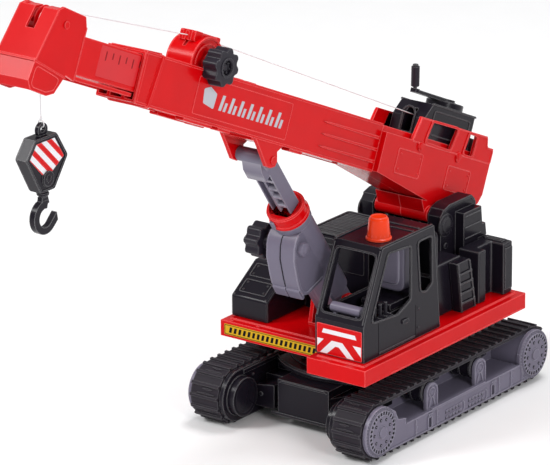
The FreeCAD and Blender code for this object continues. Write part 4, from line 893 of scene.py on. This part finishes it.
def make_boom_side(name, side):
    face, tube = side * BASE_FACE, side * TUBE_FACE
    red = Moulding(BOOM)
    for window in GUARD_WINDOWS:
        lip(red, along_boom(window), 2, 2.2, *raised(face, side, 0.9, 0.4))
    for high, low, bottom, top in BASE_PANELS:
        lip(red, along_boom(rectangle(low, bottom, high, top)), 0.9, 1.6,
            *raised(face, side, 0.5), inset=0.9)
        for s in (low + 3, high - 5):
            for u in (bottom + 4, top - 4):
                red.dome((face, -s, u), 1, side * 0.8)
    edge = along_boom(GUARD_EDGE)
    red.band(softened(grown(edge, -0.1), 3), softened(grown(edge, -1.3), 2.6), *raised(face, side, 0.5))
    rivet = ((0, 2.2), (2.2, 2.1), (3.4, 1.2), (3.6, -0.4), (0, -0.4))
    for s, u in ((34.1, 48.4), (-22, 49.6)):
        red.cap(rivet, face, side, (0, -s, u), 18)
    for u in (27, 36.4, 45.6):
        rib = [(158, u - 0.7), (163, u), (158, u + 0.7), (85, u + 1.3), (85, u - 1.3)]
        red.prism(along_boom(rib), *raised(tube, side, 1.7, 0.3))
    for u in (19, 55):
        rail = rectangle(84, u, TUBE_END, u + 2)
        red.prism(along_boom(rail), *raised(tube, side, 0.6, 2))
    for low, high in ((297.6, 333.3), (273.6, 289.4), (178, 195)):
        lug = softened(along_boom(rectangle(low, 16.9, high, 20)), 1.4, 3)
        red.prism(lug, side * 8, side * 15.6)
    for low, high in ((271.5, 280.5), (255, 267.5)):
        lug = softened(along_boom(rectangle(low, 55, high, 57.6)), 0.8, 3)
        red.prism(lug, side * 6, side * 15)
    red.done("boom_mouldings_" + name, "boom", RED, 0.35)


def make_boom_collar():
    """The raised band round the end of the outer boom, which leans, and the strap on top."""
    collar = Moulding(BOOM)

    def leaning(start, outline):
        return collar.loop((x, -(start + (COLLAR_TOP - u) * COLLAR_LEAN), u) for x, u in outline)

    loops = []
    for start, grow in ((374, 0), (375.4, 1.7), (377.6, 1.7), (379, 0)):
        half = TUBE_FACE + grow
        section = softened(rectangle(-half, 19.6 - grow, half, 55.9 + grow), 1.5 + grow)
        loops.append(leaning(start, section))
    inside = softened(rectangle(-15.8, 20.6, 15.8, 55), 1.5)
    loops += [leaning(start, inside) for start in (379, 374)]
    collar.walls(loops + loops[:1])
    strap = softened([(374, 55.5), (376, 58.6), (TUBE_END, 57.6), (TUBE_END, 55.5)], 0.8, 3)
    collar.prism(along_boom(strap), -15, 15)
    nose = along_boom(rectangle(394.6, 20, TUBE_END + 0.6, 55.6))
    for side in (LEFT, RIGHT):
        collar.prism(nose, side * 16.4, side * 17.5)
    collar.done("boom_end_collar", "boom", RED, 0.3)


def make_boom_graphics(name, side):
    """Plain stripes along the outer boom and a scale on the sliding section."""
    tube, inner = side * TUBE_FACE, side * INNER_FACE
    edge, marks, sheet, ticks = (Moulding(BOOM) for _ in range(4))
    edge.band(softened(along_boom(rectangle(206, 23.6, 328, 51.6)), 2, 3),
              softened(along_boom(rectangle(206.6, 24.2, 327.4, 51)), 1.6, 3),
              *raised(tube, side, 0.3, 0.1))
    edge.done("boom_panel_edge_" + name, "boom", RED)
    marks.prism(along_boom(softened(EMBLEM, 1.5, 3)), *raised(tube, side, 0.2, 0.1))
    for i in range(BOOM_STRIPES):
        s = 297 - BOOM_STRIPE_PITCH * i
        for mark in ([(s, 31), (s - 3.4, 31), (s - 5.6, 42.4), (s - 2.2, 42.4)],
                     [(s - 5.6, 31), (s - 8.6, 31), (s - 9.9, 37.6), (s - 6.9, 37.6)]):
            marks.prism(along_boom(mark), *raised(tube, side, 0.2, 0.1))
    marks.done("boom_stripes_" + name, "boom", SILVER)
    # The sheet is a real sticker; its paler red is partly a painted reflection.
    sheet.prism(softened(along_boom(rectangle(399, 30, 446, 52)), 1.5, 3),
                *raised(inner, side, 0.08, 0.1))
    sheet.done("telescope_sheet_" + name, "telescope", PRINT_SHEEN_RED)
    for i in range(SCALE_TICKS):
        s = 398 + SCALE_PITCH * i
        tick = rectangle(s, 44 - 2 * (i % 2), s + 1.2, 48.5)
        ticks.prism(along_boom(tick), *raised(inner, side, 0.16, 0.1))
    ticks.done("telescope_scale_" + name, "telescope", DEEP_RED)


def make_gear_housing_details():
    middle = -TELESCOPE_HUB[1], TELESCOPE_HUB[2]
    housing = Moulding(BOOM)
    for side in (LEFT, RIGHT):
        for outer, inner, rise in ((19.2, 17.4, 0.9), (14.6, 13.2, 0.7)):
            ring = arc(middle, outer, -12, 192) + arc(middle, inner, 192, -12)
            housing.prism(along_boom(ring), side * 10.8, side * (11 + rise))
    ridge = arc(middle, 20, 128, 186, 14) + arc(middle, 18.6, 186, 128, 14)
    housing.prism(along_boom(ridge), -11.4, 11.4)
    housing.turn([(0, 16.6), (5.5, 16.6), (6.4, 15.4), (6.8, 11), (0, 11)], TELESCOPE_HUB)
    for low, high in ((322, 331.8), (300.2, 306)):
        block = softened(rectangle(low, 74, high, 82), 1.6, 3)
        housing.prism(along_boom(block), -7, 7)
    for x in (-7, 5.4):
        housing.prism(along_boom(rectangle(305, 75, 323, 81.4)), x, x + 1.6)
    housing.done("gear_housing_mouldings", "boom", RED, 0.4)


def make_winch_details():
    box = Moulding(BOOM)
    box.band(*(arch(0, 72, 57, radius, 10) for radius in (6.4, 4.9)), -25.6, -27.2, "XZ")
    rail = along_boom([(19, 82), (18.2, 83.6), (-44.6, 83.6), (-45.2, 82)])
    for x in (-15.8, 13.6):
        box.prism(rail, x, x + 2.2)
    for side in (LEFT, RIGHT):
        lip(box, along_boom(rectangle(-38, 60, 14, 78)), 1.2, 2.5, side * 14.8, side * 15.6)
    rear = [(-30, 50), (-30, 66.5), (-51, 66.5), (-59, 61), (-61, 50)]
    box.prism(along_boom(rear), -14, 14)
    box.done("winch_housing_mouldings", "boom", BLACK, 0.35)
    disc = Moulding(moved(BOOM, CRANK_HUB))
    for inner, outer, low, high in ((12.6, 14.9, 83.2, 88.6), (7.4, 8.8, 88, 89.4)):
        disc.turn([(inner, low), (outer, low + 0.6), (outer, high - 0.5), (outer - 0.6, high),
                   (inner, high)], axis="Z", steps=40)
    disc.done("crank_disc_rims", "winch", BLACK, 0.2)


# ------------------------------------------------------------------ head, knobs, cylinder, hook

HEAD_RIBS = ([(518.6, 27.4), (519.2, 29.2), (482, 23.2), (481.4, 21.6)],
             [(470.2, 22), (471.6, 22), (471.4, 60), (470, 60)],
             [(505.9, 66), (504.5, 65.6), (516.7, 28.9), (518.1, 29.1)])
HEAD_LOBE = [(516.4, 12.6), (513.6, 10.4), (498.4, 9.6), (491, 12), (486.6, 20.4), (515.2, 25.2)]


def make_head_details():
    head = Moulding(BOOM)
    for side in (LEFT, RIGHT):
        face = side * HEAD_FACE
        for rib in HEAD_RIBS:
            head.prism(along_boom(rib), *raised(face, side, 0.5, 0.4))
        lip(head, along_boom(HEAD_LOBE), 0.8, 3, *raised(face, side, 0.4))
        head.prism(rectangle(side * 14.9, 22.6, side * 13.6, 25.4), -400, -469, "XZ")
    front_rib = [(516.8, 27.4), (519.5, 27.9), (518.9, 30), (516.4, 29.5)]
    head.prism(along_boom(front_rib), -17.3, 17.3)
    head.done("boom_head_ribs", "telescope", RED, 0.3)


def make_knob_details():
    knob = Moulding(moved(BOOM, TELESCOPE_HUB))
    knob.turn([(5.4, 29.4), (7.6, 29.4), (7.4, 30.7), (5.8, 30.7)], steps=32)
    for y, z in around(6, 4.1):
        knob.dome((28, y, z), 0.8, 1.2, steps=8)
    knob.turn([(9.8, 16.8), (12, 16.8), (12.2, 17.8), (9.8, 17.8)], steps=32)
    knob.done("telescope_knob_rim", "telescope_drive", CHARCOAL, 0.25)
    knob = Moulding(moved(CYLINDER, LUFF_HUB))
    knob.turn([(5.4, -31.6), (7.6, -31.6), (7.4, -32.8), (5.8, -32.8)], steps=32)
    knob.turn([(0, -30), (4, -32.4), (0, -32.7)], steps=16)
    knob.ring(4.6, 6.4, (-18, -13.2), steps=24, taper=0)
    knob.done("luff_knob_rim", "luff_drive", CHARCOAL, 0.25)


LUFF_HUB, TUBE_AXIS = (0, -13, 82), (0, 3, 0)
HOUSING_RIM = [(-9, 94), (-14.5, 92.5), (-19.5, 88.8), (-25.4, 81), (-31, 66), (-33.4, 58),
               (-32.8, 50), (-28, 46), (-8, 41),
               (-8, 43.2), (-27, 48.2), (-30.4, 51.6), (-31, 58), (-28.8, 65.6),
               (-23.4, 80.2), (-17.8, 87.4), (-13.7, 90.5), (-9, 91.8)]
HOUSING_SEAM = [(-12, 93.4), (-14.7, 92.7), (-19.8, 89), (-25.8, 81.2), (-31.4, 66.1), (-33.8, 58)]


def make_cylinder_details():
    shell = Moulding(CYLINDER)
    shell.turn([(14.2, 93), (15.1, 93.4), (15.1, 98.2), (14.2, 98.8)], TUBE_AXIS, "Z", 48)
    shell.turn([(0, 18.2), (2.6, 17.9), (4.8, 16.6), (5.6, 14.8), (5.8, 12.4), (0, 12.4)],
               LUFF_HUB, steps=28)
    shell.turn([(0, -12.4), (6.6, -12.4), (6.2, -16.6), (0, -16.6)], LUFF_HUB, steps=28)
    heel = softened([(-35.2, 46.5), (-35.2, 57), (-31.5, 57), (-31.5, 46.5)], 1.6, 3)
    for side in (LEFT, RIGHT):
        shell.prism(HOUSING_RIM, side * 12.2, side * 13.3)
        shell.prism(heel, side * 0.5, side * 12.3)
    shell.done("cylinder_housing_mouldings", "luff_housing", GREY, 0.4)
    seam = Moulding(CYLINDER)
    seam.prism(HOUSING_SEAM + [(a + 1.2, b - 0.4) for a, b in HOUSING_SEAM[::-1]], -0.3, 0.3)
    seam.done("cylinder_housing_seam", "luff_housing", DARK)
    collar = Moulding(CYLINDER)
    for rim in ([(14.6, 99.4), (16, 99.8), (16, 102.4), (15.2, 103)],
                [(12.6, 109.4), (14.9, 109.4), (14.6, 111.2), (12.9, 111.2)]):
        collar.turn(rim, TUBE_AXIS, "Z", 48)
    collar.done("cylinder_collar_rims", "luff_housing", RED, 0.3)
    slot = Moulding(CYLINDER)
    slot.box((-6.4, -13.2, 101.2), (-2.6, -11, 107.6))
    slot.done("cylinder_collar_slot", "luff_housing", GREY, 0.3)


def clipped(points, limit, way):
    """The part of a convex outline where a + b, taken with the sign of way, stays within a limit."""
    result = []
    count = len(points)
    for i in range(count):
        here, after = points[i], points[(i + 1) % count]
        near, far = ((p[0] + p[1]) * way - limit for p in (here, after))
        if near <= 0:
            result.append(here)
        if near * far < 0:
            share = near / (near - far)
            result.append(tuple(Vector(here).lerp(Vector(after), share)))
    return result


BLOCK_SIDE = [(10.5, -7.3), (-12.5, -7.3), (-22.7, -20.2), (-8, -47), (7, -47), (22, -26)]
BLOCK_FACE, LABEL_FOOT = 4.6, -34
HOOK_STRIPES, STRIPE_PITCH = 8, 11


def make_hook_details():
    label = [(a, max(b, LABEL_FOOT)) for a, b in grown(BLOCK_SIDE, -3.4)]
    rims = Moulding(HOOK)
    for name, side in SIDES:
        face = side * BLOCK_FACE
        base, stripes = Moulding(HOOK), Moulding(HOOK)
        base.prism(label, *raised(face, side, 0.16))
        base.done("hook_block_label_" + name, "block", WHITE)
        for i in range(HOOK_STRIPES):
            start = -66 + STRIPE_PITCH * i
            stripe = clipped(clipped(label, start + STRIPE_PITCH / 2, 1), -start, -1)
            if len(stripe) > 2:
                stripes.prism(stripe, face, face + side * 0.3)
        stripes.done("hook_block_stripes_" + name, "block", RED)
        rims.band(softened(BLOCK_SIDE, 3), softened(grown(BLOCK_SIDE, -1.6), 2.4),
                  *raised(face, side, 0.7))
        rims.cap(((0, 2.3), (2, 2.2), (3, 1.6), (3, 1.2), (0, 1.2)), face, side, (0, 0, -38), 18)
    rims.done("hook_block_rims", "block", BLACK, 0.3)
    hook = Moulding(HOOK)
    hook.turn([(2.6, -51.4), (4.4, -50.8), (4.6, -49), (2.6, -48.4)], axis="Z", steps=20)
    hook.done("hook_collar", "hook_body", BLACK, 0.2)


# ------------------------------------------------------------------ studio

LAMPS = (("key", (-1.5, -1.9, 2.3), 50, 0.8), ("fill", (2.2, -0.9, 1.3), 24, 0.8),
         ("top", (0.1, 0.8, 2.5), 30, 1))
LAMP_AIM = Vector((0, 0, 0.15))
DAYLIGHT = 0.45


def make_studio():
    floor = Moulding()
    floor.prism(rectangle(-6000, -6000, 6000, 8000), -20, -0.3, "XY")
    ground = finished(floor.mesh, "studio_floor", None, FLOOR, ride=False)
    world = bpy.data.worlds.new("studio")
    world.use_nodes = True
    background = world.node_tree.nodes["Background"].inputs
    background["Color"].default_value = (1, 1, 1, 1)
    background["Strength"].default_value = DAYLIGHT
    bpy.context.scene.world = world
    for name, place, power, size in LAMPS:
        data = bpy.data.lights.new(name, "AREA")
        data.energy, data.size = power, size
        lamp = bpy.data.objects.new(name, data)
        lamp.location = place
        lamp.rotation_mode = "QUATERNION"
        lamp.rotation_quaternion = (LAMP_AIM - Vector(place)).to_track_quat("-Z", "Y")
        bpy.context.scene.collection.objects.link(lamp)
    bpy.context.scene.view_settings.view_transform = "Standard"


make_camera()
make_hoist_line()
make_rounded_copies()
for side_name, side_sign in SIDES:
    make_plate_details(side_name, side_sign)
    make_roller_brackets(side_name, side_sign)
    make_belt_details(side_name, side_sign)
    make_boom_side(side_name, side_sign)
    for end_name, way in (("front", -1), ("rear", 1)):
        make_wheel_details(side_name, side_sign, end_name, way * WHEEL_Y)
        make_roller_grooves(side_name, side_sign, end_name, way * ROLLER_Y)
make_carbody_details()
make_track_covers()
make_front_plate()
make_deck_trim()
make_cab_details()
make_cab_sticker()
make_cab_inside()
make_front_box_details()
make_hood_details()
make_side_cover_details()
make_steps()
make_towers()
make_counterweight_details()
make_beacon_rims()
make_clevis_caps()
make_boom_collar()
for side_name, side_sign in SIDES:
    make_boom_graphics(side_name, side_sign)
make_gear_housing_details()
make_winch_details()
make_head_details()
make_knob_details()
make_cylinder_details()
make_hook_details()
make_studio()
